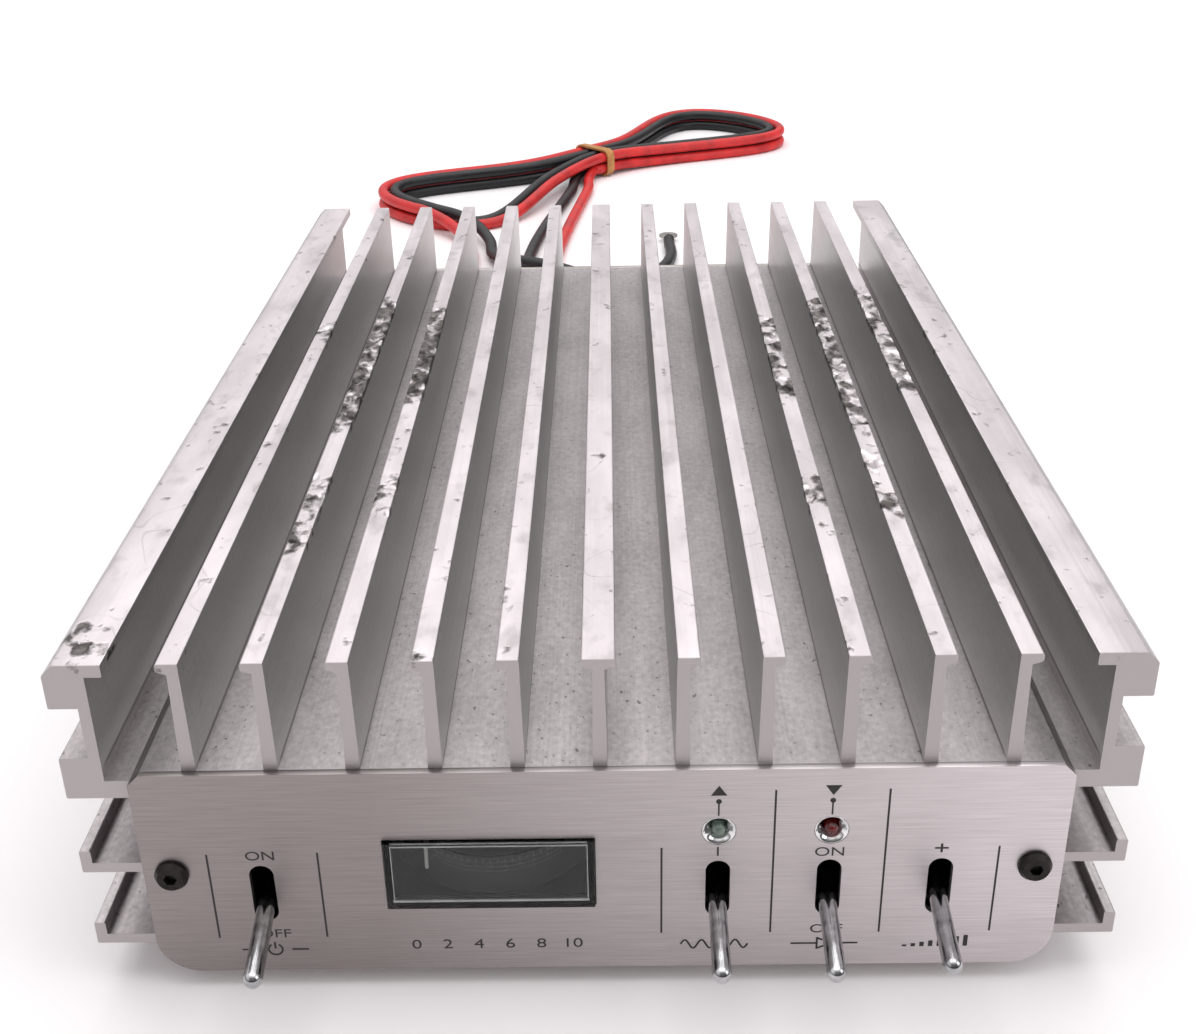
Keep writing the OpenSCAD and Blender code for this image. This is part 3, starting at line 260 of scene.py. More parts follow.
def brushed_aluminium():
    """Aluminium sheet brushed from side to side: pale silver with fine level streaks, and a painted shade
    that darkens it towards the power switch at its left end."""
    material, tree, shader = start_material("brushed_aluminium", "#b5aeaf", 1.0, 0.4)
    # Real brushing is about 0.1 mm apart, drawn a little wider so that it shows
    streaks = grain(tree, (12, 0.18, 0.18), 3.0)
    streak = add(tree, "ShaderNodeMapRange", [streaks, 0.3, 0.7])
    patchy = add(tree, "ShaderNodeMapRange", [grain(tree, (24, 9, 9), 3.0, 4.0), 0.45, 0.75, 0.0, 0.15])
    place = add(tree, "ShaderNodeTexCoord").outputs["Object"]
    across = add(tree, "ShaderNodeSeparateXYZ", [place]).outputs["X"]
    # Painted shade: the panel's colour darkens towards its left end
    painted_left_shade = add(tree, "ShaderNodeMapRange", [across, 65 * MM, -40 * MM])
    clean = layered(tree, "#bcb6b8", ("#d3cdcf", streak))
    dull = layered(tree, "#857f7d", ("#97918f", streak))
    feed(tree, shader, {
        "Base Color": layered(tree, clean, (dull, painted_left_shade), ("#989393", patchy)),
        "Roughness": add(tree, "ShaderNodeMapRange", [streaks, 0.3, 0.7, 0.34, 0.46]),
        "Normal": add(tree, "ShaderNodeBump", {"Height": streaks, "Distance": 0.02 * MM, "Strength": 0.2})})
    return material


def rolled_aluminium():
    """Rolled aluminium sheet: even grey silver with faint rolling lines and handling marks."""
    material, tree, shader = start_material("rolled_aluminium", "#c2bdb9", 1.0, 0.42)
    lines = grain(tree, (0.5, 60, 60), 4.0)
    lined = add(tree, "ShaderNodeMapRange", [lines, 0.4, 0.7, 0.0, 0.4])
    cloud = grain(tree, (16, 16, 16), 4.0, 2.0)
    clouded = add(tree, "ShaderNodeMapRange", [cloud, 0.35, 0.65])
    feed(tree, shader, {
        "Base Color": layered(tree, "#b4aea9", ("#c9c4c0", clouded), ("#a39c96", lined)),
        "Roughness": add(tree, "ShaderNodeMapRange", [cloud, 0.3, 0.7, 0.36, 0.5]),
        "Normal": add(tree, "ShaderNodeBump", {"Height": lines, "Distance": 0.03 * MM, "Strength": 0.4})})
    return material


def metal_finish(name, dark, light, roughness, size_mm=3.0, metallic=1.0):
    """A plated or polished metal: two near tones, cloudy at a few millimetres, with a faint surface."""
    material, tree, shader = start_material(name, light, metallic, roughness)
    cloud = grain(tree, (size_mm, size_mm, size_mm), 5.0)
    clouded = add(tree, "ShaderNodeMapRange", [cloud, 0.35, 0.65])
    faint = grain(tree, (0.4, 0.4, 0.4), 3.0, 6.0)
    feed(tree, shader, {
        "Base Color": layered(tree, dark, (light, clouded)),
        "Roughness": add(tree, "ShaderNodeMapRange", [cloud, 0.3, 0.7, 0.8 * roughness, 1.25 * roughness]),
        "Normal": add(tree, "ShaderNodeBump", {"Height": faint, "Distance": 0.01 * MM, "Strength": 0.3})})
    return material


def moulded_finish(name, dark, light, roughness, grit_mm=0.35, depth_mm=0.02):
    """A moulded, painted or printed surface: an even colour, slightly mottled, with a fine grit."""
    material, tree, shader = start_material(name, light, 0.0, roughness)
    mottle = grain(tree, (4, 4, 4), 4.0)
    mottled = add(tree, "ShaderNodeMapRange", [mottle, 0.35, 0.65])
    grit = grain(tree, (grit_mm, grit_mm, grit_mm), 3.0, 2.0)
    feed(tree, shader, {
        "Base Color": layered(tree, dark, (light, mottled)),
        "Roughness": add(tree, "ShaderNodeMapRange", [mottle, 0.3, 0.7, 0.88 * roughness, 1.12 * roughness]),
        "Normal": add(tree, "ShaderNodeBump", {"Height": grit, "Distance": depth_mm * MM, "Strength": 0.5})})
    return material


def extruded_pvc(name, dark, light, dusty):
    """Flexible PVC, extruded over wire: satin, with soft handling marks and a barely uneven skin."""
    material, tree, shader = start_material(name, light, 0.0, 0.42, IOR=1.46)
    smear = grain(tree, (9, 9, 9), 5.0)
    smeared = add(tree, "ShaderNodeMapRange", [smear, 0.35, 0.65])
    dust = add(tree, "ShaderNodeMapRange", [grain(tree, (0.8, 0.8, 0.8), 2.0, 4.0), 0.62, 0.75, 0.0, dusty])
    skin = grain(tree, (2.5, 2.5, 2.5), 3.0, 7.0)
    feed(tree, shader, {
        "Base Color": layered(tree, dark, (light, smeared), ("#8c8480", dust)),
        "Roughness": add(tree, "ShaderNodeMapRange", [smear, 0.3, 0.7, 0.34, 0.55]),
        "Normal": add(tree, "ShaderNodeBump", {"Height": skin, "Distance": 0.08 * MM, "Strength": 0.5})})
    return material


def clear_acrylic():
    """Acrylic, moulded clear: bright at its edges, with faint rubbing on the face. It bends light less than
    real acrylic, so that the white table doesn't veil the dark scale."""
    material, tree, shader = start_material(
        "clear_acrylic", "#f4f7f6", 0.0, 0.04, IOR=1.33, Transmission_Weight=1.0)
    rubbed = grain(tree, (6, 1.5, 1.5), 4.0)
    feed(tree, shader, {"Roughness": add(tree, "ShaderNodeMapRange", [rubbed, 0.4, 0.7, 0.02, 0.12])})
    return material


def painted_pointer():
    """Pointer of sheet metal, painted matt: a pale needle under a dark arm."""
    material, tree, shader = start_material("painted_pointer", "#e4e4dc", 0.0, 0.6)
    place = add(tree, "ShaderNodeTexCoord").outputs["Object"]
    height = add(tree, "ShaderNodeSeparateXYZ", [place]).outputs["Z"]
    arm_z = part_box("meter_pointer")[1].z - 0.5 * MM
    arm = add(tree, "ShaderNodeMapRange", [height, arm_z - 0.05 * MM, arm_z])
    worn = grain(tree, (1, 1, 1), 3.0)
    feed(tree, shader, {"Base Color": layered(tree, "#d6d6ce", ("#efefe9", worn), ("#1d1f1f", arm))})
    return material


def tinted_lens(name, dark, light):
    """Epoxy lamp lens, cast and tinted through: glossy and cloudy."""
    material, tree, shader = start_material(name, light, 0.0, 0.16, IOR=1.52, Transmission_Weight=0.35)
    depth = grain(tree, (1.2, 1.2, 1.2), 3.0)
    clouded = add(tree, "ShaderNodeMapRange", [depth, 0.35, 0.65])
    feed(tree, shader, {
        "Base Color": layered(tree, dark, (light, clouded)),
        "Roughness": add(tree, "ShaderNodeMapRange", [depth, 0.3, 0.7, 0.1, 0.24])})
    return material


# Printed ink lies flat and dark on the panel, and greyed on the scale
black_print = moulded_finish("screen_printed_black_ink", "#171514", "#24211f", 0.6)
pale_print = moulded_finish("screen_printed_pale_ink", "#4f5452", "#676c6a", 0.6)
# Painted highlights: pale lines along the window's inner edges, where the acrylic catches the light
window_edge_highlight = moulded_finish("moulded_acrylic_edge", "#b9bcbb", "#d3d6d5", 0.25)

SLOT_MATERIALS = {
    "heatsink_aluminium": mill_finish_aluminium(),
    "panel_aluminium": brushed_aluminium(),
    "sheet_aluminium": rolled_aluminium(),
    # Oxide leaves a brownish black that shines a little. The bushings are darker and duller, and their dark colour
    # is painted shade inside the lever slots
    "black_screws": metal_finish("black_oxide_steel", "#161311", "#2b2522", 0.42, 1.2, 0.7),
    "bushing_black": metal_finish("blackened_brass", "#1d1b1a", "#2f2b29", 0.5, 2.0, 0.6),
    # Chrome mirrors: sharp on the bezels, and greyer on the levers
    "bezel_chrome": metal_finish("polished_chrome_plate", "#d2d2d3", "#e6e6e6", 0.09, 2.0),
    "lever_chrome": metal_finish("worn_chrome_plate", "#9c9c9e", "#bdbdbf", 0.13, 2.0),
    # Other plating is softer: pale zinc, grey tin and warm nickel
    "plated_steel": metal_finish("zinc_plated_steel", "#a7a6a1", "#c4c3be", 0.34),
    "tinned_sheet": metal_finish("tinned_copper", "#8a8782", "#a8a5a0", 0.36, 2.0),
    "socket_nickel": metal_finish("nickel_plated_brass", "#b8b4aa", "#d3cfc5", 0.22, 3.0),
    # Yellow brass and red-brown wire keep a clean shine
    "brass": metal_finish("machined_brass", "#b08a3e", "#cda75a", 0.28),
    "copper_wire": metal_finish("enamelled_copper", "#9c5527", "#bd733f", 0.25),
    # The meter and lamps: clear case, matt black scale, satin black movement, pale needle, cloudy lenses
    "clear_acrylic": clear_acrylic(),
    "scale_plate": moulded_finish("matt_painted_scale", "#101212", "#181a1a", 0.7, 0.5),
    "movement_plastic": moulded_finish("moulded_black_abs", "#0d0d0d", "#191919", 0.5),
    "pointer_paint": painted_pointer(),
    "green_lens": tinted_lens("green_epoxy_lens", "#5f6f64", "#86978b"),
    "red_lens": tinted_lens("red_epoxy_lens", "#4a0d0f", "#7e1a1d"),
    # Plastics and ceramics inside: brown-black, green, ivory, brown, blue, dark grey and white
    "switch_phenolic": moulded_finish("moulded_phenolic", "#1a1613", "#29231f", 0.5),
    "board_laminate": moulded_finish("glass_fibre_laminate", "#1f4a28", "#2f6337", 0.4, 0.8),
    "ceramic": moulded_finish("fired_ceramic", "#cfc5ad", "#e2dac6", 0.45),
    "relay_plastic": moulded_finish("moulded_nylon", "#6b4a26", "#7d5a33", 0.4),
    "capacitor_sleeve": moulded_finish("shrunk_pvc_sleeve", "#14204e", "#1f2f68", 0.3),
    "ferrite": moulded_finish("sintered_ferrite", "#232324", "#303133", 0.65),
    "fluoropolymer": moulded_finish("turned_fluoropolymer", "#dcdad2", "#efeee8", 0.5),
    # Rubber is matt: black feet and grommets, and a tan band
    "black_rubber": moulded_finish("moulded_black_rubber", "#121212", "#1e1e1e", 0.75, 0.4, 0.04),
    "band_rubber": moulded_finish("natural_rubber_cut_band", "#a5713a", "#c08a4c", 0.55, 0.5, 0.05),
    "red_pvc": extruded_pvc("red_extruded_pvc", "#b01a1c", "#d42a2a", 0.2),
    "black_pvc": extruded_pvc("black_extruded_pvc", "#0b0b0e", "#16161a", 0.1),
}


def dress(piece, material):
    """Gives a piece one finish."""
    piece.data.materials.clear()
    piece.data.materials.append(material)


SLOT_OF = {part["node"]: part["material_slot"] for part in frame["record"]["subparts"]}
for node_name, slot_name in SLOT_OF.items():
    dress(NODES[node_name], SLOT_MATERIALS[slot_name])


# Pieces

WELD = 0.001 * MM


def new_piece(name, data, slot_name, *replaced, material=None):
    """A finished piece at the origin, riding on the case, with the finish of a slot."""
    data.name = name
    piece = put(name, data)
    dress(piece, material or SLOT_MATERIALS[slot_name])
    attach(piece, CASE)
    if replaced:
        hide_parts(*replaced)
    return piece


def mesh_of(shape, smooth_degrees=35):
    """Turns a bmesh into a mesh whose faces point outwards and shade smoothly up to an angle."""
    bmesh.ops.recalc_face_normals(shape, faces=shape.faces)
    mesh = bpy.data.meshes.new("shape")
    shape.to_mesh(mesh)
    shape.free()
    mesh.shade_smooth()
    mesh.set_sharp_from_angle(angle=math.radians(smooth_degrees))
    return mesh


def frozen(holder):
    """A plain mesh of what an object comes to with its modifiers."""
    graph = bpy.context.evaluated_depsgraph_get()
    return bpy.data.meshes.new_from_object(holder.evaluated_get(graph))


def welded(node_name):
    """A copy of a CAD node's loose triangles, joined to a skin."""
    shape = bmesh.new()
    shape.from_mesh(NODES[node_name].data)
    bmesh.ops.remove_doubles(shape, verts=shape.verts, dist=WELD)
    return shape


def break_edges(shape, edges, width_mm):
    """Rounds edges of a bmesh by a small width."""
    bmesh.ops.bevel(shape, geom=edges, offset=width_mm * MM, offset_type="OFFSET", segments=2, profile=0.5,
                    affect="EDGES", clamp_overlap=True)


FLAT_DEGREES, SHARP_DEGREES = 0.5, 25


def ease_edges(node_name, width_mm, shortest_mm):
    """Shows a CAD node with its flat faces whole and its long sharp edges broken."""
    shape = welded(node_name)
    bmesh.ops.dissolve_limit(
        shape, angle_limit=math.radians(FLAT_DEGREES), verts=shape.verts, edges=shape.edges)
    bmesh.ops.recalc_face_normals(shape, faces=shape.faces)
    sharp = [e for e in shape.edges if len(e.link_faces) == 2 and e.calc_length() > shortest_mm * MM
             and e.calc_face_angle_signed(0) > math.radians(SHARP_DEGREES)]
    break_edges(shape, sharp, width_mm)
    return new_piece(node_name + "_eased", mesh_of(shape, SHARP_DEGREES), SLOT_OF[node_name], node_name)


def lathe(shape, outline, place, segments=40):
    """Adds to a bmesh the solid that an outline of (radius, height) pairs in millimetres turns out to."""
    rings = []
    for radius, height in outline:
        count = segments if radius > 0 else 1
        rings.append([shape.verts.new(place @ Vector((
            radius * MM * math.cos(2 * math.pi * k / segments),
            radius * MM * math.sin(2 * math.pi * k / segments), height * MM))) for k in range(count)])
    for low, high in zip(rings, rings[1:]):
        for k in range(segments):
            corners = [low[k % len(low)], low[(k + 1) % len(low)],
                       high[(k + 1) % len(high)], high[k % len(high)]]
            shape.faces.new(list(dict.fromkeys(corners)))


def box(shape, low, high):
    """Adds to a bmesh a box between two corners, in metres."""
    size = Vector(high) - Vector(low)
    place = Matrix.Translation((Vector(low) + Vector(high)) / 2) @ Matrix.Diagonal((*size, 1))
    bmesh.ops.create_cube(shape, size=1, matrix=place)


def carve(body, cutter_shape):
    """Takes a closed bmesh away from an object's mesh."""
    cutter = put("cutter", mesh_of(cutter_shape))
    modifier = body.modifiers.new("cutter", "BOOLEAN")
    modifier.object = cutter
    modifier.operation = "DIFFERENCE"
    modifier.solver = "EXACT"
    modifier.use_self = True
    carved = frozen(body)
    body.modifiers.remove(modifier)
    bpy.data.objects.remove(cutter)
    body.data = carved


# Chips in the knocked fins: their grid and how far it reaches, where they fade out, and their depth
CHIP_STEP, CHIP_REACH = 0.8, 5.0
CHIP_END_FADE, CHIP_SIDE_FADE = 8.0, 1.5
CHIP_DEPTH = 1.1
# The block that cuts them stays this far above a whole fin, and its lid is higher
CHIP_CLEAR = 0.6
CHIP_LID = 3
# Lumps across and along a fin, how they grow finer, and how much of a knock leaves it whole
LUMP_W, LUMP_L = 4, 8
LUMP_FADE, LUMP_FINER, LUMP_LEVELS = 0.8, 2.0, 3
WHOLE_SHARE, FADE_SHARE = 0.65, 1.3
CHIP_DEGREES = 15


def chip_depth(x, y, across, start, end, how_badly):
    """How deep a fin is chipped at a place, in millimetres; less than zero where it is whole."""
    place = Vector(((x + across) / LUMP_W, y / LUMP_L, x))
    lumps = noise.fractal(place, LUMP_FADE, LUMP_FINER, LUMP_LEVELS)
    fade = min(1, (y - start) / CHIP_END_FADE, (end - y) / CHIP_END_FADE,
               (CHIP_REACH - abs(across)) / CHIP_SIDE_FADE)
    return max(-CHIP_CLEAR, CHIP_DEPTH * (lumps + how_badly - WHOLE_SHARE - FADE_SHARE * (1 - fade)))


def add_chip_block(shape, x, start, end, how_badly):
    """Adds to a bmesh a block whose rough underside reaches into a fin where it is chipped."""
    top = heatsink_high.z / MM
    rows, columns = round((end - start) / CHIP_STEP), round(2 * CHIP_REACH / CHIP_STEP)
    reach = [CHIP_REACH * (2 * column / columns - 1) for column in range(columns + 1)]
    grid = []
    for row in range(rows + 1):
        y = start + (end - start) * row / rows
        grid.append([shape.verts.new(at(x + across, y, top - chip_depth(x, y, across, start, end, how_badly)))
                     for across in reach])
    for low, high in zip(grid, grid[1:]):
        for k in range(columns):
            shape.faces.new([low[k], low[k + 1], high[k + 1], high[k]])
    right, left = [line[-1] for line in grid[1:-1]], [line[0] for line in grid[-2:0:-1]]
    border = grid[0] + right + grid[-1][::-1] + left
    lid = [shape.verts.new((vert.co.x, vert.co.y, (top + CHIP_LID) * MM)) for vert in border]
    shape.faces.new(lid)
    for k in range(len(border)):
        shape.faces.new([border[k - 1], border[k], lid[k], lid[k - 1]])


def chip_fins(piece):
    """Chips the knocked fins, with an edge round each chip."""
    blocks = bmesh.new()
    for knock in KNOCKS:
        add_chip_block(blocks, *knock)
    bmesh.ops.triangulate(blocks, faces=blocks.faces)
    carve(piece, blocks)
    shape = bmesh.new()
    shape.from_mesh(piece.data)
    cell = 2 * (CHIP_STEP * MM) ** 2
    for edge in shape.edges:
        sizes = {face.calc_area() < cell for face in edge.link_faces}
        edge.smooth = len(sizes) == 1 and edge.calc_face_angle(0) < math.radians(CHIP_DEGREES)
    shape.to_mesh(piece.data)
    shape.free()


# How wide each node's edges are broken, and the shortest edge that is
FIN_EASE = (0.25, 60)
PLATE_EASE = {"front_panel": (0.2, 3), "rear_panel": (0.25, 3), "bottom_cover": (0.2, 5), "meter_case": (0.25, 5)}
chip_fins(ease_edges("heatsink", *FIN_EASE))
for eased_node, ease in PLATE_EASE.items():
    ease_edges(eased_node, *ease)

# Facets of the turned nodes shade as one round
for turned_node in ("lamp_bezels", "left_lamp", "right_lamp"):
    new_piece(turned_node + "_turned", mesh_of(welded(turned_node)), SLOT_OF[turned_node], turned_node)


# Geometry trees for what repeats or follows a path

def new_tree(name, inputs):
    """A geometry tree with named inputs; returns it and its input sockets."""
    tree = bpy.data.node_groups.new(name, "GeometryNodeTree")
    tree.interface.new_socket("Geometry", in_out="INPUT", socket_type="NodeSocketGeometry")
    for label, kind in inputs:
        tree.interface.new_socket(label, in_out="INPUT", socket_type="NodeSocket" + kind)
    tree.interface.new_socket("Geometry", in_out="OUTPUT", socket_type="NodeSocketGeometry")
    return tree, add(tree, "NodeGroupInput").outputs


def end_tree(tree, geometry, slot_material):
    """Ends a geometry tree in solid geometry with a finish."""
    solid = add(tree, "GeometryNodeRealizeInstances", {"Geometry": geometry})
    shown = add(tree, "GeometryNodeSetMaterial", {"Geometry": solid, "Material": slot_material})
    add(tree, "NodeGroupOutput", {"Geometry": shown})
    return tree


def baked(tree, values, start=None):
    """The finished mesh that a geometry tree makes from a start mesh with the given input values."""
    holder = put(tree.name, start or bpy.data.meshes.new(tree.name))
    modifier = holder.modifiers.new(tree.name, "NODES")
    modifier.node_group = tree
    for item in tree.interface.items_tree:
        if item.in_out == "INPUT" and item.name in values:
            modifier[item.identifier] = values[item.name]
    mesh = frozen(holder)
    holder.modifiers.remove(modifier)
    bpy.data.objects.remove(holder)
    return mesh


def add_mesh(shape, mesh, place):
    """Adds a mesh to a bmesh at a place."""
    mesh.transform(place)
    shape.from_mesh(mesh)
    bpy.data.meshes.remove(mesh)


def thread_tree():
    """A screw thread: a three-sided ridge swept along a helix."""
    tree, given = new_tree("screw_thread", [
        ("Turns", "Float"), ("Radius", "Float"), ("Length", "Float"), ("Ridge", "Float")])
    helix = add(tree, "GeometryNodeCurveSpiral", {
        "Resolution": 40, "Rotations": given["Turns"], "Start Radius": given["Radius"],
        "End Radius": given["Radius"], "Height": given["Length"]})
    ridge = add(tree, "GeometryNodeCurvePrimitiveCircle", {"Resolution": 3, "Radius": given["Ridge"]})
    swept = add(tree, "GeometryNodeCurveToMesh", {"Curve": helix, "Profile Curve": ridge, "Fill Caps": True})
    return end_tree(tree, swept, SLOT_MATERIALS["socket_nickel"])


def screw_tree():
    """Like screws set on the points of a mesh."""
    tree, given = new_tree("screw_set", [("Screw", "Object"), ("Turn", "Rotation")])
    screw = add(tree, "GeometryNodeObjectInfo", {"Object": given["Screw"]})
    placed = add(tree, "GeometryNodeInstanceOnPoints", {
        "Points": given["Geometry"], "Instance": screw.outputs["Geometry"], "Rotation": given["Turn"]})
    return end_tree(tree, placed, SLOT_MATERIALS["plated_steel"])


def tick_tree():
    """A printed arc with upright ticks standing on it."""
    tree, given = new_tree("scale_ticks", [
        ("Ticks", "Int"), ("Radius", "Float"), ("Start", "Float"), ("Sweep", "Float"), ("Tick", "Vector"),
        ("Rise", "Vector"), ("Line", "Float")])
    arc = {"Radius": given["Radius"], "Start Angle": given["Start"], "Sweep Angle": given["Sweep"]}
    fine = add(tree, "GeometryNodeCurveArc", {"Resolution": 48, **arc})
    coarse = add(tree, "GeometryNodeCurveArc", {"Resolution": given["Ticks"], **arc})
    points = add(tree, "GeometryNodeCurveToPoints", {"Curve": coarse}, mode="EVALUATED")
    tick = add(tree, "GeometryNodeMeshCube", {"Size": given["Tick"]})
    raised_tick = add(tree, "GeometryNodeTransform", {"Geometry": tick, "Translation": given["Rise"]})
    ticks = add(tree, "GeometryNodeInstanceOnPoints", {"Points": points, "Instance": raised_tick})
    profile = add(tree, "GeometryNodeCurvePrimitiveCircle", {"Resolution": 4, "Radius": given["Line"]})
    line = add(tree, "GeometryNodeCurveToMesh", {"Curve": fine, "Profile Curve": profile, "Fill Caps": True})
    both = add(tree, "GeometryNodeJoinGeometry", {"Geometry": ticks})
    feed(tree, both, {"Geometry": line})
    return end_tree(tree, both, pale_print)


# Coaxial sockets: flange, threaded barrel and tail
SOCKET_R, SOCKET_ROOT_R, SOCKET_BORE_R = 7.9, 7.4, 6.1
SOCKET_PITCH, SOCKET_RIDGE = 1.06, 0.42
THREAD_START, THREAD_STOP = 1.4, 0.8
SOCKET_SCREW_HEAD = 1.8
FLANGE_EASE = 0.5


def make_socket(node_name, tree):
    """Shows a coaxial socket with its flange, its barrel and the thread on it."""
    low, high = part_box(node_name)
    middle = (low + high) / 2
    flange_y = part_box("rear_panel")[1].y
    flange_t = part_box("socket_screws")[1].y - SOCKET_SCREW_HEAD * MM - flange_y
    shape = bmesh.new()
    box(shape, (low.x, flange_y, low.z), (high.x, flange_y + flange_t, high.z))
    break_edges(shape, shape.edges[:], FLANGE_EASE)
    rearward = Matrix.Translation((middle.x, low.y, middle.z)) @ Matrix.Rotation(-math.pi / 2, 4, "X")
    length = (high.y - low.y) / MM
    threaded = (flange_y + flange_t - low.y) / MM
    lathe(shape, [
        (SOCKET_BORE_R, 0), (SOCKET_R, 0), (SOCKET_R, threaded + 0.8), (SOCKET_ROOT_R, threaded + 1),
        (SOCKET_ROOT_R, length - 0.5), (SOCKET_ROOT_R - 0.4, length), (SOCKET_BORE_R + 0.3, length),
        (SOCKET_BORE_R, length - 0.3), (SOCKET_BORE_R, 0)], rearward, 64)
    run = length - threaded - THREAD_START - THREAD_STOP
    thread = baked(tree, {"Turns": run / SOCKET_PITCH, "Radius": (SOCKET_ROOT_R + 0.1) * MM,
                          "Length": run * MM, "Ridge": SOCKET_RIDGE * MM})
    add_mesh(shape, thread, rearward @ Matrix.Translation((0, 0, (threaded + THREAD_START) * MM)))
    bmesh.ops.remove_doubles(shape, verts=shape.verts, dist=WELD)
    new_piece(node_name + "_threaded", mesh_of(shape), SLOT_OF[node_name], node_name)


threads = thread_tree()
for socket_node in ("antenna_socket", "radio_socket"):
    make_socket(socket_node, threads)


# Cross-recessed pan-head screws
HEAD_R, SHANK_R = 2.7, 1.45
CROSS_W, CROSS_L, CROSS_DEPTH = 0.75, 3.0, 1.1
COVER_SCREW_HEAD, FOOT_SCREW_HEAD = 1.8, 1.5
REARWARD, DOWNWARD = (0, 1, 0), (0, 0, -1)


def islands(node_name):
    """The low and high corners of each separate solid of a CAD node."""
    shape = welded(node_name)
    waiting, found = set(shape.verts), []
    while waiting:
        group, front = [], [waiting.pop()]
        while front:
            vert = front.pop()
            group.append(vert.co.copy())
            for edge in vert.link_edges:
                other = edge.other_vert(vert)
                if other in waiting:
                    waiting.remove(other)
                    front.append(other)
        found.append([Vector(map(pick, zip(*group))) for pick in (min, max)])
    shape.free()
    return found


def pan_head_screw(head_h, length):
    """A screw along Z whose head ends at height zero, with a cross cut in it."""
    shape = bmesh.new()
    lathe(shape, [
        (0, -length), (SHANK_R - 0.25, -length), (SHANK_R, -length + 0.3), (SHANK_R, -head_h),
        (HEAD_R - 0.15, -head_h), (HEAD_R, -head_h + 0.15), (HEAD_R, -0.55 * head_h),
        (HEAD_R - 0.25, -0.25 * head_h), (HEAD_R - 0.8, -0.07 * head_h), (HEAD_R - 1.8, 0), (0, 0)],
        Matrix.Identity(4), 32)
    body = put("pan_head", mesh_of(shape))
    cross = bmesh.new()
    for across, along in ((CROSS_W, CROSS_L), (CROSS_L, CROSS_W)):
        corner = Vector((across / 2, along / 2, 0)) * MM
        box(cross, -corner - Vector((0, 0, CROSS_DEPTH * MM)), corner + Vector((0, 0, MM)))
    carve(body, cross)
    return body


def set_screws(node_name, outward, head_h, tree):
    """Shows a CAD node's screws with cross-recessed heads; outward is the way that the heads face."""
    boxes = islands(node_name)
    axis = max(range(3), key=lambda k: abs(outward[k]))
    length = (boxes[0][1] - boxes[0][0])[axis] / MM
    points = []
    for low, high in boxes:
        place = (low + high) / 2
        place[axis] = high[axis] if outward[axis] > 0 else low[axis]
        points.append(place)
    start = bpy.data.meshes.new(node_name)
    start.from_pydata(points, [], [])
    screw = pan_head_screw(head_h, length)
    turn = Vector(outward).to_track_quat("Z", "Y").to_euler()
    mesh = baked(tree, {"Screw": screw, "Turn": turn}, start)
    bpy.data.objects.remove(screw)
    new_piece(node_name + "_recessed", mesh, SLOT_OF[node_name], node_name)


screws = screw_tree()
set_screws("socket_screws", REARWARD, SOCKET_SCREW_HEAD, screws)
set_screws("cover_screws", DOWNWARD, COVER_SCREW_HEAD, screws)
set_screws("foot_screws", DOWNWARD, FOOT_SCREW_HEAD, screws)


# Meter marks on the curved scale: each row's height as a share of the scale's, its ticks and their height
MARK_ROWS = [(0.86, 21, 0.7), (0.74, 11, 0.5), (0.62, 6, 0.4)]
MARK_START, MARK_SWEEP = math.radians(-129), math.radians(78)
TICK_W, MARK_LINE_R = 0.16, 0.07


def make_meter_marks():
    """Rows of printed ticks on the meter's curved scale."""
    spindle = Vector(JOINTS["pointer_swing"]["pos_m"])
    low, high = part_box("meter_scale")
    shape = bmesh.new()
    tree = tick_tree()
    for level, count, tick_h in MARK_ROWS:
        marks = baked(tree, {
            "Ticks": count, "Radius": spindle.y - low.y, "Start": MARK_START, "Sweep": MARK_SWEEP,
            "Tick": (TICK_W * MM, TICK_W * MM, tick_h * MM), "Rise": (0, 0, tick_h / 2 * MM),
            "Line": MARK_LINE_R * MM})
        height = low.z + level * (high.z - low.z)
        add_mesh(shape, marks, Matrix.Translation((spindle.x, spindle.y, height)))
    new_piece("meter_marks", mesh_of(shape), "scale_plate", material=pale_print)


make_meter_marks()

# The meter's flange and wall, and the widths of the painted highlights along its window's lower, upper and upright
# edges
METER_FLANGE, METER_WALL = 2, 1.3
LOWER_EDGE, UPPER_EDGE, SIDE_EDGE = 0.4, 0.22, 0.16


def make_meter_window_highlights():
    """Painted highlights: pale bars along the inner edges of the meter's window, where it catches the light."""
    case_low, case_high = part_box("meter_case")
    inset = (METER_FLANGE + METER_WALL) * MM
    left, right = case_low.x + inset, case_high.x - inset
    bottom, top = case_low.z + inset, case_high.z - inset
    front = case_low.y + METER_WALL * MM
    shape = bmesh.new()
    for width, corner, far in [
            (LOWER_EDGE, (left, bottom), (right, bottom)), (UPPER_EDGE, (left, top), (right, top)),
            (SIDE_EDGE, (left, bottom), (left, top)), (SIDE_EDGE, (right, bottom), (right, top))]:
        half = Vector((width, width, width)) / 2 * MM
        box(shape, Vector((corner[0], front, corner[1])) - half, Vector((far[0], front, far[1])) + half)
    new_piece("meter_window_edges", mesh_of(shape), "clear_acrylic", material=window_edge_highlight)


make_meter_window_highlights()


# Printing on the front panel, in millimetres across and above the box's underside
BOX_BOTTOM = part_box("front_panel")[0].z
INK_PROUD, INK_SUNK = 0.03, 0.05
INK_W, POINTER_W = 0.36, 0.3
LETTER_STRETCH = 1.25
# Upright rules: x, and from and to in height
RULES = [(-68.7, 7.7, 26.5), (-49.4, 7.7, 26.7), (10.35, 7.8, 26.9), (29.75, 7.7, 39), (49.1, 7.5, 39),
         (68.75, 7.5, 26.5)]
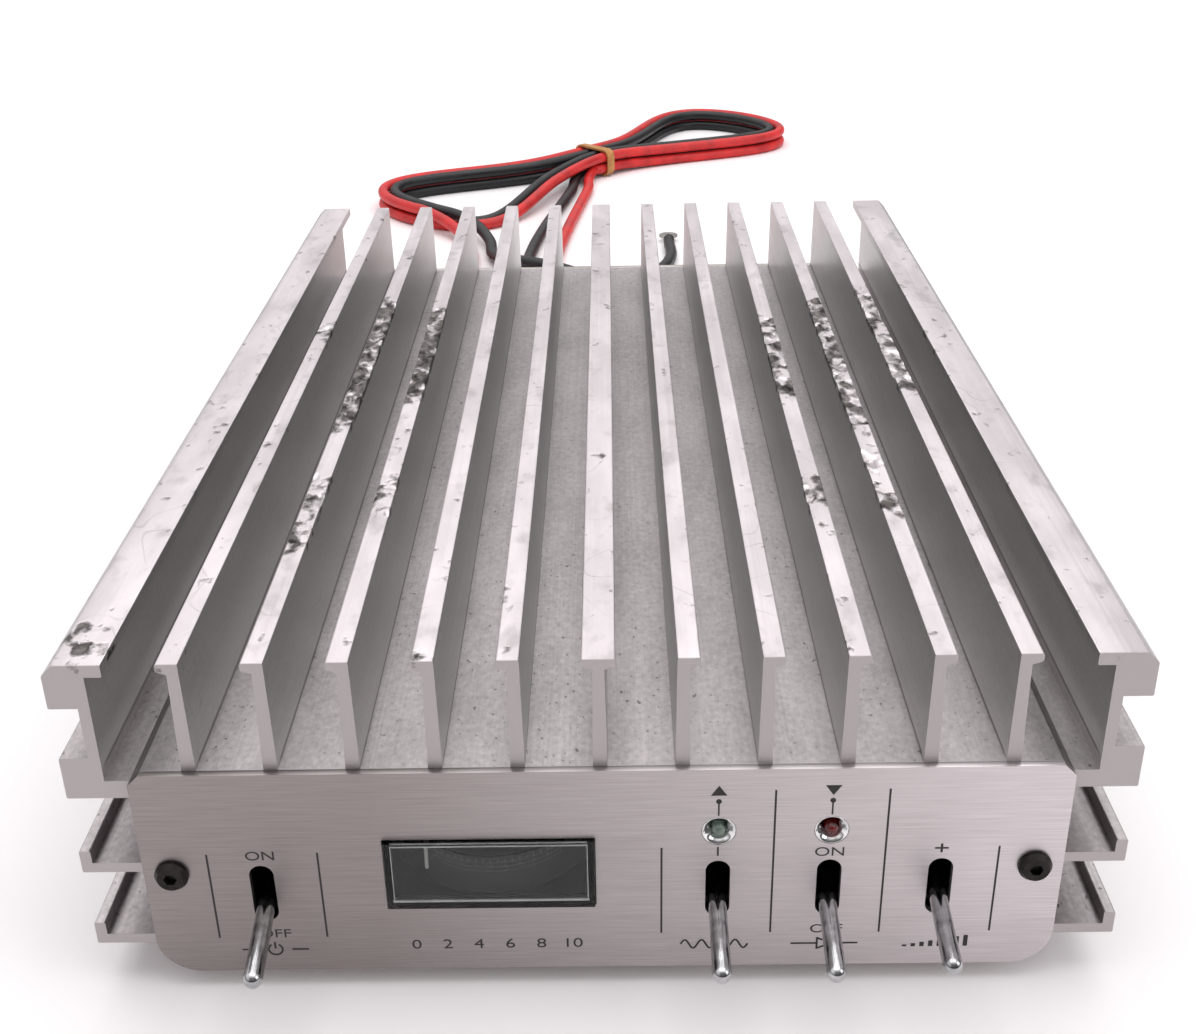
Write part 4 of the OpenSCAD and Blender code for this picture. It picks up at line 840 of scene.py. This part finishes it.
# What stands over and under the levers: text, x and height
LEVER_PRINT = [("ON", -59.4, 26), ("OFF", -58.7, 8.5), ("1", 20.1, 25.9), ("2", 20.3, 8.5), ("ON", 39.5, 25.6),
               ("OFF", 39.7, 8.3), ("+", 58.8, 26), ("-", 60.2, 8.4)]
LETTER_H, DASH_H = 1.9, 0.45
METER_NUMBERS = ("0", "2", "4", "6", "8", "10")
METER_MIDDLE, METER_STEP = -19.5, 5.6
METER_NUMBER_Z, METER_NUMBER_H = 5.6, 2.1
# Middles of the signs under the switches, and their half-width
POWER_SIGN, WAVE_SIGN, AMPLIFIER_SIGN, BARS_SIGN = (-59, 4.9), (19.8, 5.1), (39.5, 5.0), (59.3, 5.0)
SIGN_REACH = 6
# Each lamp's x, and 1 or -1 for an arrowhead up or down
LAMP_SIGNS = [(20.1, 1), (39.5, -1)]
LAMP_ARROW_Z, LAMP_DOT_Z, LAMP_DOT_R = 38.9, 36.7, 0.5


def ink_place(x, z):
    """From flat print directions to the panel's face."""
    upright = Matrix.Rotation(math.pi / 2, 4, "X")
    return Matrix.Translation((x * MM, panel_face_y, BOX_BOTTOM + z * MM)) @ upright


def ink_outline(shape, points, x, z):
    """Adds a printed area inside an outline in millimetres."""
    place = ink_place(x, z)
    ends = [[shape.verts.new(place @ Vector((u * MM, v * MM, depth * MM))) for u, v in points]
            for depth in (-INK_SUNK, INK_PROUD)]
    shape.faces.new(ends[0])
    shape.faces.new(ends[1])
    for k in range(len(points)):
        following = (k + 1) % len(points)
        shape.faces.new([ends[0][k], ends[0][following], ends[1][following], ends[1][k]])


def ink_line(shape, points, x=0.0, z=0.0, width=INK_W):
    """Adds a printed line through points in millimetres."""
    points = [Vector(p) for p in points]
    sides = [[], []]
    for k, point in enumerate(points):
        way = (points[min(k + 1, len(points) - 1)] - points[max(k - 1, 0)]).normalized()
        across = Vector((-way.y, way.x)) * width / 2
        sides[0].append(point + across)
        sides[1].append(point - across)
    for k in range(len(points) - 1):
        ink_outline(shape, [sides[0][k], sides[0][k + 1], sides[1][k + 1], sides[1][k]], x, z)


def ink_text(shape, text, x, z, height):
    """Adds plain letters or numbers about a middle."""
    font = bpy.data.curves.new("print", "FONT")
    font.body = text
    font.align_x = "CENTER"
    font.align_y = "CENTER"
    font.size = 1.0
    font.extrude = 0.5
    holder = put("print", font)
    letters = frozen(holder)
    bpy.data.objects.remove(holder)
    tall = max(v.co.y for v in letters.vertices) - min(v.co.y for v in letters.vertices)
    size = height * MM / tall
    thick = (INK_PROUD + INK_SUNK) * MM
    shift = Matrix.Translation((0, 0, (INK_PROUD - INK_SUNK) / 2 * MM))
    scale = Matrix.Diagonal((size * LETTER_STRETCH, size, thick, 1))
    add_mesh(shape, letters, ink_place(x, z) @ shift @ scale)


def ink_ring(radius, start, end, steps=24):
    """Points round part of a ring, between two angles in degrees."""
    angles = [math.radians(start + (end - start) * k / steps) for k in range(steps + 1)]
    return [(radius * math.cos(angle), radius * math.sin(angle)) for angle in angles]


def make_panel_print():
    """All of the panel's print, as one piece."""
    shape = bmesh.new()
    for x, low, high in RULES:
        ink_line(shape, [(x, low), (x, high)])
    for text, x, z in LEVER_PRINT:
        ink_text(shape, text, x, z, DASH_H if text == "-" else LETTER_H)
    for k, number in enumerate(METER_NUMBERS):
        offset = k - (len(METER_NUMBERS) - 1) / 2
        ink_text(shape, number, METER_MIDDLE + offset * METER_STEP, METER_NUMBER_Z, METER_NUMBER_H)
    # Power: a broken ring with a stroke, between two dashes
    ink_line(shape, ink_ring(1.25, 120, 420), *POWER_SIGN)
    ink_line(shape, [(0, 0.2), (0, 1.7)], *POWER_SIGN)
    for side in (-1, 1):
        ink_line(shape, [(side * SIGN_REACH / 2, 0), (side * SIGN_REACH, 0)], *POWER_SIGN)
    # Mode: a wave of four turns
    turns, steps = 4, 64
    wave = [(SIGN_REACH * (2 * k / steps - 1), 0.95 * math.sin(2 * math.pi * turns * k / steps))
            for k in range(steps + 1)]
    ink_line(shape, wave, *WAVE_SIGN)
    # Preamplifier: a triangle with a line in and a line out
    back, tip = -1.3, 1.4
    for start, end in [((back, 1.2), (tip, 0)), ((tip, 0), (back, -1.2)), ((back, -1.35), (back, 1.35)),
                       ((-SIGN_REACH, 0), (back, 0)), ((tip, 0), (SIGN_REACH, 0))]:
        ink_line(shape, [start, end], *AMPLIFIER_SIGN)
    # Level: eight rising bars
    for k in range(8):
        left, top = 1.55 * k - 5.8, 0.3 * k - 0.6
        ink_outline(shape, [(left, -1), (left + 0.8, -1), (left + 0.8, top), (left, top)], *BARS_SIGN)
    # Over the lamps: an arrowhead up or down, and a dot on a line that points to the lamp
    for x, way in LAMP_SIGNS:
        ink_outline(shape, [(-1.4, -0.95 * way), (1.4, -0.95 * way), (0, 1.1 * way)][::way], x, LAMP_ARROW_Z)
        ink_outline(shape, ink_ring(LAMP_DOT_R, 0, 345, 23), x, LAMP_DOT_Z)
        ink_line(shape, [(0, -0.3), (0, -3)], x, LAMP_DOT_Z, POINTER_W)
    new_piece("panel_print", mesh_of(shape), "panel_aluminium", material=black_print)


make_panel_print()


# Supply leads: routes and hank as the solids have them
LEAD_D = 5
LEAD_R = LEAD_D / 2
HANK_MID = (-5, 585)
HANK_TURN = math.radians(45)
HANK_STEP = 5.7
# Half the bow's length, the swell of its loops and how many turns it has
HANK_A = 122
HANK_K = 82
HANK_LOOPS = 1.75
# A turn climbs to the next layer between these angles in degrees
CLIMB_FROM, CLIMB_TO = 300, 340
# The band under the waist lifts the leads off the table over this length
BAND_LIFT = 1.9
LIFT_LENGTH = 28
GROMMET_Y = 270
LEAD_Z = 22
HANK_STEPS = 260
SPLINE_STEPS = 8

BLACK_ROUTE = [(-34, 290, 22), (-34, 310, 19), (-34, 328, 12), (-34, 346, 5), (-34, 366, 2.5), (-34, 400, 2.5),
               (-32, 440, 2.5), (-27, 480, 2.5), (-20, 520, 2.5), (-16, 544, 2.6), (-15, 558, 3.2)]
RED_ROUTE = [(-22, 290, 22), (-22, 310, 19), (-22, 328, 12), (-22, 346, 5), (-22, 366, 2.5), (-22, 400, 2.5),
             (-20, 440, 2.5), (-16, 480, 2.5), (-11, 520, 2.5), (-8, 544, 2.6), (-8, 558, 3.2)]
BLACK_END = [(-66, 478, 8.1), (-57, 466, 6.2), (-51, 452, 3.6), (-49, 436, 3), (-44, 420, 5.4), (-34, 407, 8.3),
             (-21, 399, 8.3), (-8, 396, 5.4), (5, 397, 2.7), (17, 403, 2.5), (25, 414, 2.5), (29, 430, 2.5),
             (29, 446, 2.5)]
RED_END = [(-72, 474, 6.4), (-64, 461, 3.8), (-59, 445, 2.6), (-57, 427, 2.5), (-57, 406, 2.5), (-59, 386, 2.5),
           (-65, 367, 2.5), (-73, 352, 2.5)]


def hank_way(t):
    """Direction of travel in the hank at an angle in degrees, along and across it."""
    p = math.radians(t - 90)
    lobe = HANK_K * math.cos(p) ** 2 - 2 * HANK_K * math.sin(p) ** 2
    return Vector((-HANK_A * math.sin(p), math.cos(p) * (HANK_STEP + lobe))).normalized()


def hank_turned(a, b):
    """From along and across the hank to the table's own directions."""
    cos, sin = math.cos(HANK_TURN), math.sin(HANK_TURN)
    return Vector((a * cos - b * sin, a * sin + b * cos))


def hank_point(t, side):
    """A point of a lead's middle line in the hank: side is 1 for the outer lead and -1 for the inner."""
    p = math.radians(t - 90)
    way = hank_way(t)
    a = HANK_A * math.cos(p) + side * HANK_STEP / 2 * way.y
    b = math.sin(p) * (HANK_STEP + HANK_K * math.cos(p) ** 2) - side * HANK_STEP / 2 * way.x
    turn = math.floor(t / 360)
    s = min(1, max(0, (t - 360 * turn - CLIMB_FROM) / (CLIMB_TO - CLIMB_FROM)))
    layer = turn + s * s * (3 - 2 * s)
    flat = Vector(HANK_MID) + hank_turned(a, b)
    lift = BAND_LIFT * math.exp(-(a / LIFT_LENGTH) ** 2)
    return Vector((flat.x, flat.y, LEAD_R + lift + HANK_STEP * layer))


def hank_heading(t):
    """Direction of travel in the hank at an angle in degrees, on the table."""
    way = hank_way(t)
    return hank_turned(way.x, way.y).to_3d()


def smooth(points):
    """A curve through the points, with steps between each two."""
    points = [Vector(p) for p in points]
    made = []
    for i in range(len(points) - 1):
        a, b = points[max(i - 1, 0)], points[i]
        c, d = points[i + 1], points[min(i + 2, len(points) - 1)]
        for k in range(SPLINE_STEPS):
            s = k / SPLINE_STEPS
            made.append(0.5 * (2 * b + (c - a) * s + (2 * a - 5 * b + 4 * c - d) * s ** 2
                               + (3 * b - a - 3 * c + d) * s ** 3))
    return made + [points[-1]]


def lead_line(route, side, end_route):
    """The whole middle line of a lead, from inside its grommet to its terminal."""
    end_turn = 360 * HANK_LOOPS
    start = hank_point(0, side) - LEAD_D * hank_heading(0)
    finish = hank_point(end_turn, side) + LEAD_D * hank_heading(end_turn)
    inside = (route[0][0], GROMMET_Y, LEAD_Z)
    out = [Vector(inside)] + smooth(list(route) + [start - LEAD_D * hank_heading(0), start])
    hank = [hank_point(end_turn * i / HANK_STEPS, side) for i in range(HANK_STEPS + 1)]
    back = smooth([finish, finish + 2 * LEAD_D * hank_heading(end_turn)] + list(end_route))
    return [at(*p) for p in out + hank + back]


def make_lead(name, line, slot_name, *replaced):
    """A round lead along a middle line."""
    curve = bpy.data.curves.new(name, "CURVE")
    curve.dimensions = "3D"
    curve.bevel_depth = LEAD_R * MM
    curve.bevel_resolution = 5
    curve.use_fill_caps = True
    spline = curve.splines.new("POLY")
    spline.points.add(len(line) - 1)
    for point, place in zip(spline.points, line):
        point.co = (*place, 1)
    spline.use_smooth = True
    return new_piece(name, curve, slot_name, *replaced)


# Ring terminals: the sleeve with its two crimps, the tongue and the ring
SLEEVE_L, SLEEVE_R, CRIMP_R = 9, 2.45, 2.05
TONGUE_L, TONGUE_W, TONGUE_T = 6, 4, 0.9
RING_R, RING_HOLE_R = 4.2, 2.2
RING_EASE, HOLE_EASE = 0.15, 0.1


def make_terminal(name, end_route, sleeve_slot):
    """A crimped ring terminal on a lead's end: tinned tongue and ring, and the sleeve's crimp marks."""
    end, before = Vector(end_route[-1]), Vector(end_route[-2])
    way = (end - before).normalized()
    base = Matrix.Translation(at(*end)) @ way.to_track_quat("Z", "Y").to_matrix().to_4x4()
    sleeve = bmesh.new()
    lathe(sleeve, [
        (0, -1.5), (SLEEVE_R - 0.25, -1.5), (SLEEVE_R, -1.1), (SLEEVE_R, 1.4), (CRIMP_R, 2.2), (CRIMP_R, 3.4),
        (SLEEVE_R, 4.2), (SLEEVE_R, 5.4), (CRIMP_R, 6.2), (CRIMP_R, 7.2), (SLEEVE_R, 8.0), (SLEEVE_R, 8.7),
        (SLEEVE_R - 0.25, SLEEVE_L), (0, SLEEVE_L)], base)
    cover = new_piece(name + "_sleeve", mesh_of(sleeve), sleeve_slot)
    ring = bmesh.new()
    middle = Matrix.Translation(at(*(end + way * (SLEEVE_L + TONGUE_L))))
    half = TONGUE_T / 2
    lathe(ring, [
        (RING_HOLE_R, -half + HOLE_EASE), (RING_HOLE_R + HOLE_EASE, -half), (RING_R - RING_EASE, -half),
        (RING_R, -half + RING_EASE), (RING_R, half - RING_EASE), (RING_R - RING_EASE, half),
        (RING_HOLE_R + HOLE_EASE, half), (RING_HOLE_R, half - HOLE_EASE), (RING_HOLE_R, -half + HOLE_EASE)],
        middle)
    bmesh.ops.remove_doubles(ring, verts=ring.verts, dist=WELD)
    heading = Matrix.Rotation(math.atan2(way.y, way.x), 4, "Z")
    tongue_l = TONGUE_L - RING_HOLE_R
    tongue = Matrix.Translation(at(*(end + way * (SLEEVE_L + tongue_l / 2 - 0.4)))) @ heading
    size = Matrix.Diagonal((tongue_l * MM, TONGUE_W * MM, (TONGUE_T - 0.05) * MM, 1))
    bmesh.ops.create_cube(ring, size=1, matrix=tongue @ size)
    return [cover, new_piece(name, mesh_of(ring), "tinned_sheet", "lead_terminals")]


# The rubber band: its gap to the leads, its strip, and how far the turns sway and stand off
BAND_GAP, BAND_T, BAND_W = 0.45, 0.9, 2.3
BAND_TURNS, BAND_STEPS = 2, 96
BAND_SWAY, BAND_WRINKLE, BAND_OVERLAP = 1.25, 0.1, 0.02
BAND_DEGREES = 50
BAND_ROUND = LEAD_R + BAND_GAP
BAND_HALF_W, BAND_HALF_H = 1.5 * HANK_STEP, HANK_STEP / 2
BAND_ARC = math.pi / 2 * BAND_ROUND
BAND_AROUND = 4 * (BAND_HALF_W + BAND_HALF_H + BAND_ARC)


def band_outline(s):
    """A place on the band's rounded outline at a running length, and the way out from it."""
    s %= BAND_AROUND
    for k, (half_run, cx, cy) in enumerate([
            (BAND_HALF_W, 1, 1), (BAND_HALF_H, 1, -1), (BAND_HALF_W, -1, -1), (BAND_HALF_H, -1, 1)]):
        run = 2 * half_run
        ahead = Vector((math.cos(-k * math.pi / 2), math.sin(-k * math.pi / 2)))
        out = Vector((-ahead.y, ahead.x))
        round_at = Vector((cx * BAND_HALF_W, cy * BAND_HALF_H))
        if s <= run:
            return round_at + out * BAND_ROUND + ahead * (s - run), out
        s -= run
        if s <= BAND_ARC:
            angle = s / BAND_ROUND
            side = out * math.cos(angle) + ahead * math.sin(angle)
            return round_at + side * BAND_ROUND, side
        s -= BAND_ARC
    return Vector((-BAND_HALF_W, BAND_HALF_H + BAND_ROUND)), Vector((0, 1))


def make_band():
    """The rubber band: a flat strip wound twice round the hank's waist, crossing itself on top."""
    centre = at(HANK_MID[0], HANK_MID[1], LEAD_R + BAND_LIFT + HANK_STEP / 2)
    turned = Matrix.Translation(centre) @ Matrix.Rotation(HANK_TURN, 4, "Z")
    shape = bmesh.new()
    rows = []
    for i in range(BAND_STEPS * BAND_TURNS):
        share = i / (BAND_STEPS * BAND_TURNS)
        place, out = band_outline(share * BAND_TURNS * BAND_AROUND)
        # The strip lies to one side on the first turn and to the other on the second
        along = BAND_SWAY * math.cos(2 * math.pi * share) + BAND_WRINKLE * math.sin(14 * math.pi * share)
        lift = 0.0 if share < 0.5 else BAND_OVERLAP
        row = []
        for width, height in [(-1, 0), (1, 0), (1, 1), (-1, 1)]:
            reach = place + out * (lift + height * BAND_T)
            corner = Vector((along + width * BAND_W / 2, reach.x, reach.y))
            row.append(shape.verts.new(turned @ (corner * MM)))
        rows.append(row)
    for i, row in enumerate(rows):
        following = rows[(i + 1) % len(rows)]
        for k in range(4):
            shape.faces.new([row[k], row[(k + 1) % 4], following[(k + 1) % 4], following[k]])
    return new_piece("rubber_band_wound", mesh_of(shape, BAND_DEGREES), "band_rubber", "rubber_band")


red_line = lead_line(RED_ROUTE, 1, RED_END)
black_line = lead_line(BLACK_ROUTE, -1, BLACK_END)
red_cord = make_lead("red_supply_lead", red_line, "red_pvc", "red_lead", "red_hank", "red_lead_end")
black_cord = make_lead(
    "black_supply_lead", black_line, "black_pvc", "black_lead", "black_hank", "black_lead_end")
red_fitting = make_terminal("red_terminal", RED_END, "red_pvc")
black_fitting = make_terminal("black_terminal", BLACK_END, "black_pvc")
band = make_band()


# Floor and light, in metres
FLOOR_REACH = 6.0
WHITE_FROM, WHITE_TO = 0.8, 1.6
LAMP_AIM = Vector((0, 0, 0.03))
# Each lamp's name, place, size and power
LAMPS = [("overhead_softbox", (0, 0.2, 1.5), 1.8, 16), ("right_fill", (1.4, -0.5, 0.9), 1.0, 6)]


def make_floor():
    """A white table top that holds the object's shadow, fades to white far off and is clear from beneath."""
    mesh = bpy.data.meshes.new("floor")
    corners = [(x * FLOOR_REACH, y * FLOOR_REACH, 0) for x, y in ((-1, -1), (1, -1), (1, 1), (-1, 1))]
    mesh.from_pydata(corners, [], [(0, 1, 2, 3)])
    floor = put("floor", mesh)
    material, tree, shader = start_material("white_table_top", "#fbf8f9", 0.0, 0.7, Emission_Color="#ffffff")
    place = add(tree, "ShaderNodeTexCoord").outputs["Object"]
    away = add(tree, "ShaderNodeVectorMath", [place], operation="LENGTH")
    far = add(tree, "ShaderNodeMapRange", [away, WHITE_FROM, WHITE_TO])
    camera_ray = add(tree, "ShaderNodeLightPath").outputs["Is Camera Ray"]
    feed(tree, shader, {
        "Emission Strength": add(tree, "ShaderNodeMath", [far, camera_ray], operation="MULTIPLY")})
    beneath = add(tree, "ShaderNodeNewGeometry").outputs["Backfacing"]
    clear = add(tree, "ShaderNodeBsdfTransparent")
    shown = add(tree, "ShaderNodeMixShader", [beneath, shader, clear])
    feed(tree, tree.nodes["Material Output"], {"Surface": shown})
    dress(floor, material)


def make_sky():
    """Mirror rays see a dark front and right and a dimmer horizon, and all other rays an even white."""
    world = bpy.data.worlds.new("studio")
    world.use_nodes = True
    bpy.context.scene.world = world
    tree = world.node_tree
    tree.nodes.clear()
    path = add(tree, "ShaderNodeLightPath").outputs
    way = add(tree, "ShaderNodeSeparateXYZ", [add(tree, "ShaderNodeTexCoord").outputs["Generated"]]).outputs
    front = add(tree, "ShaderNodeMapRange", [way["Y"], -0.1, -0.6])
    for axis, start, end in (("Z", 0.95, 0.7), ("X", -0.75, -0.35)):
        held = add(tree, "ShaderNodeMapRange", [way[axis], start, end])
        front = add(tree, "ShaderNodeMath", [front, held], operation="MULTIPLY")
    right = add(tree, "ShaderNodeMapRange", [way["X"], 0.25, 0.7, 0.0, 0.8])
    low = add(tree, "ShaderNodeMapRange", [way["Z"], 0.9, 0.6])
    right = add(tree, "ShaderNodeMath", [right, low], operation="MULTIPLY")
    dark = add(tree, "ShaderNodeMath", [front, right], operation="MAXIMUM")
    mirrored = add(tree, "ShaderNodeMapRange", [dark, 0.0, 1.0, 1.0, 0.22])
    height = add(tree, "ShaderNodeMapRange", [way["Z"], 0.12, 0.62, 0.35, 1.35])
    mirrored = add(tree, "ShaderNodeMath", [mirrored, height], operation="MULTIPLY")
    straight = [path["Is Camera Ray"], path["Is Transmission Ray"]]
    seen = add(tree, "ShaderNodeMath", straight, operation="MAXIMUM")
    even = add(tree, "ShaderNodeMapRange", [seen, 0.0, 1.0, 0.72, 1.0])
    strength = add(tree, "ShaderNodeMix", [path["Is Glossy Ray"], even, mirrored], data_type="FLOAT")
    light = add(tree, "ShaderNodeBackground", {"Color": "#fffcfd", "Strength": strength})
    add(tree, "ShaderNodeOutputWorld", {"Surface": light})


def make_lamps():
    """Soft square lamps, aimed at the object."""
    for name, place, size, power in LAMPS:
        lamp = bpy.data.lights.new(name, "AREA")
        lamp.shape = "SQUARE"
        lamp.size = size
        lamp.energy = power
        holder = put(name, lamp)
        holder.location = place
        holder.rotation_euler = (LAMP_AIM - Vector(place)).to_track_quat("-Z", "Y").to_euler()


make_floor()
make_sky()
make_lamps()
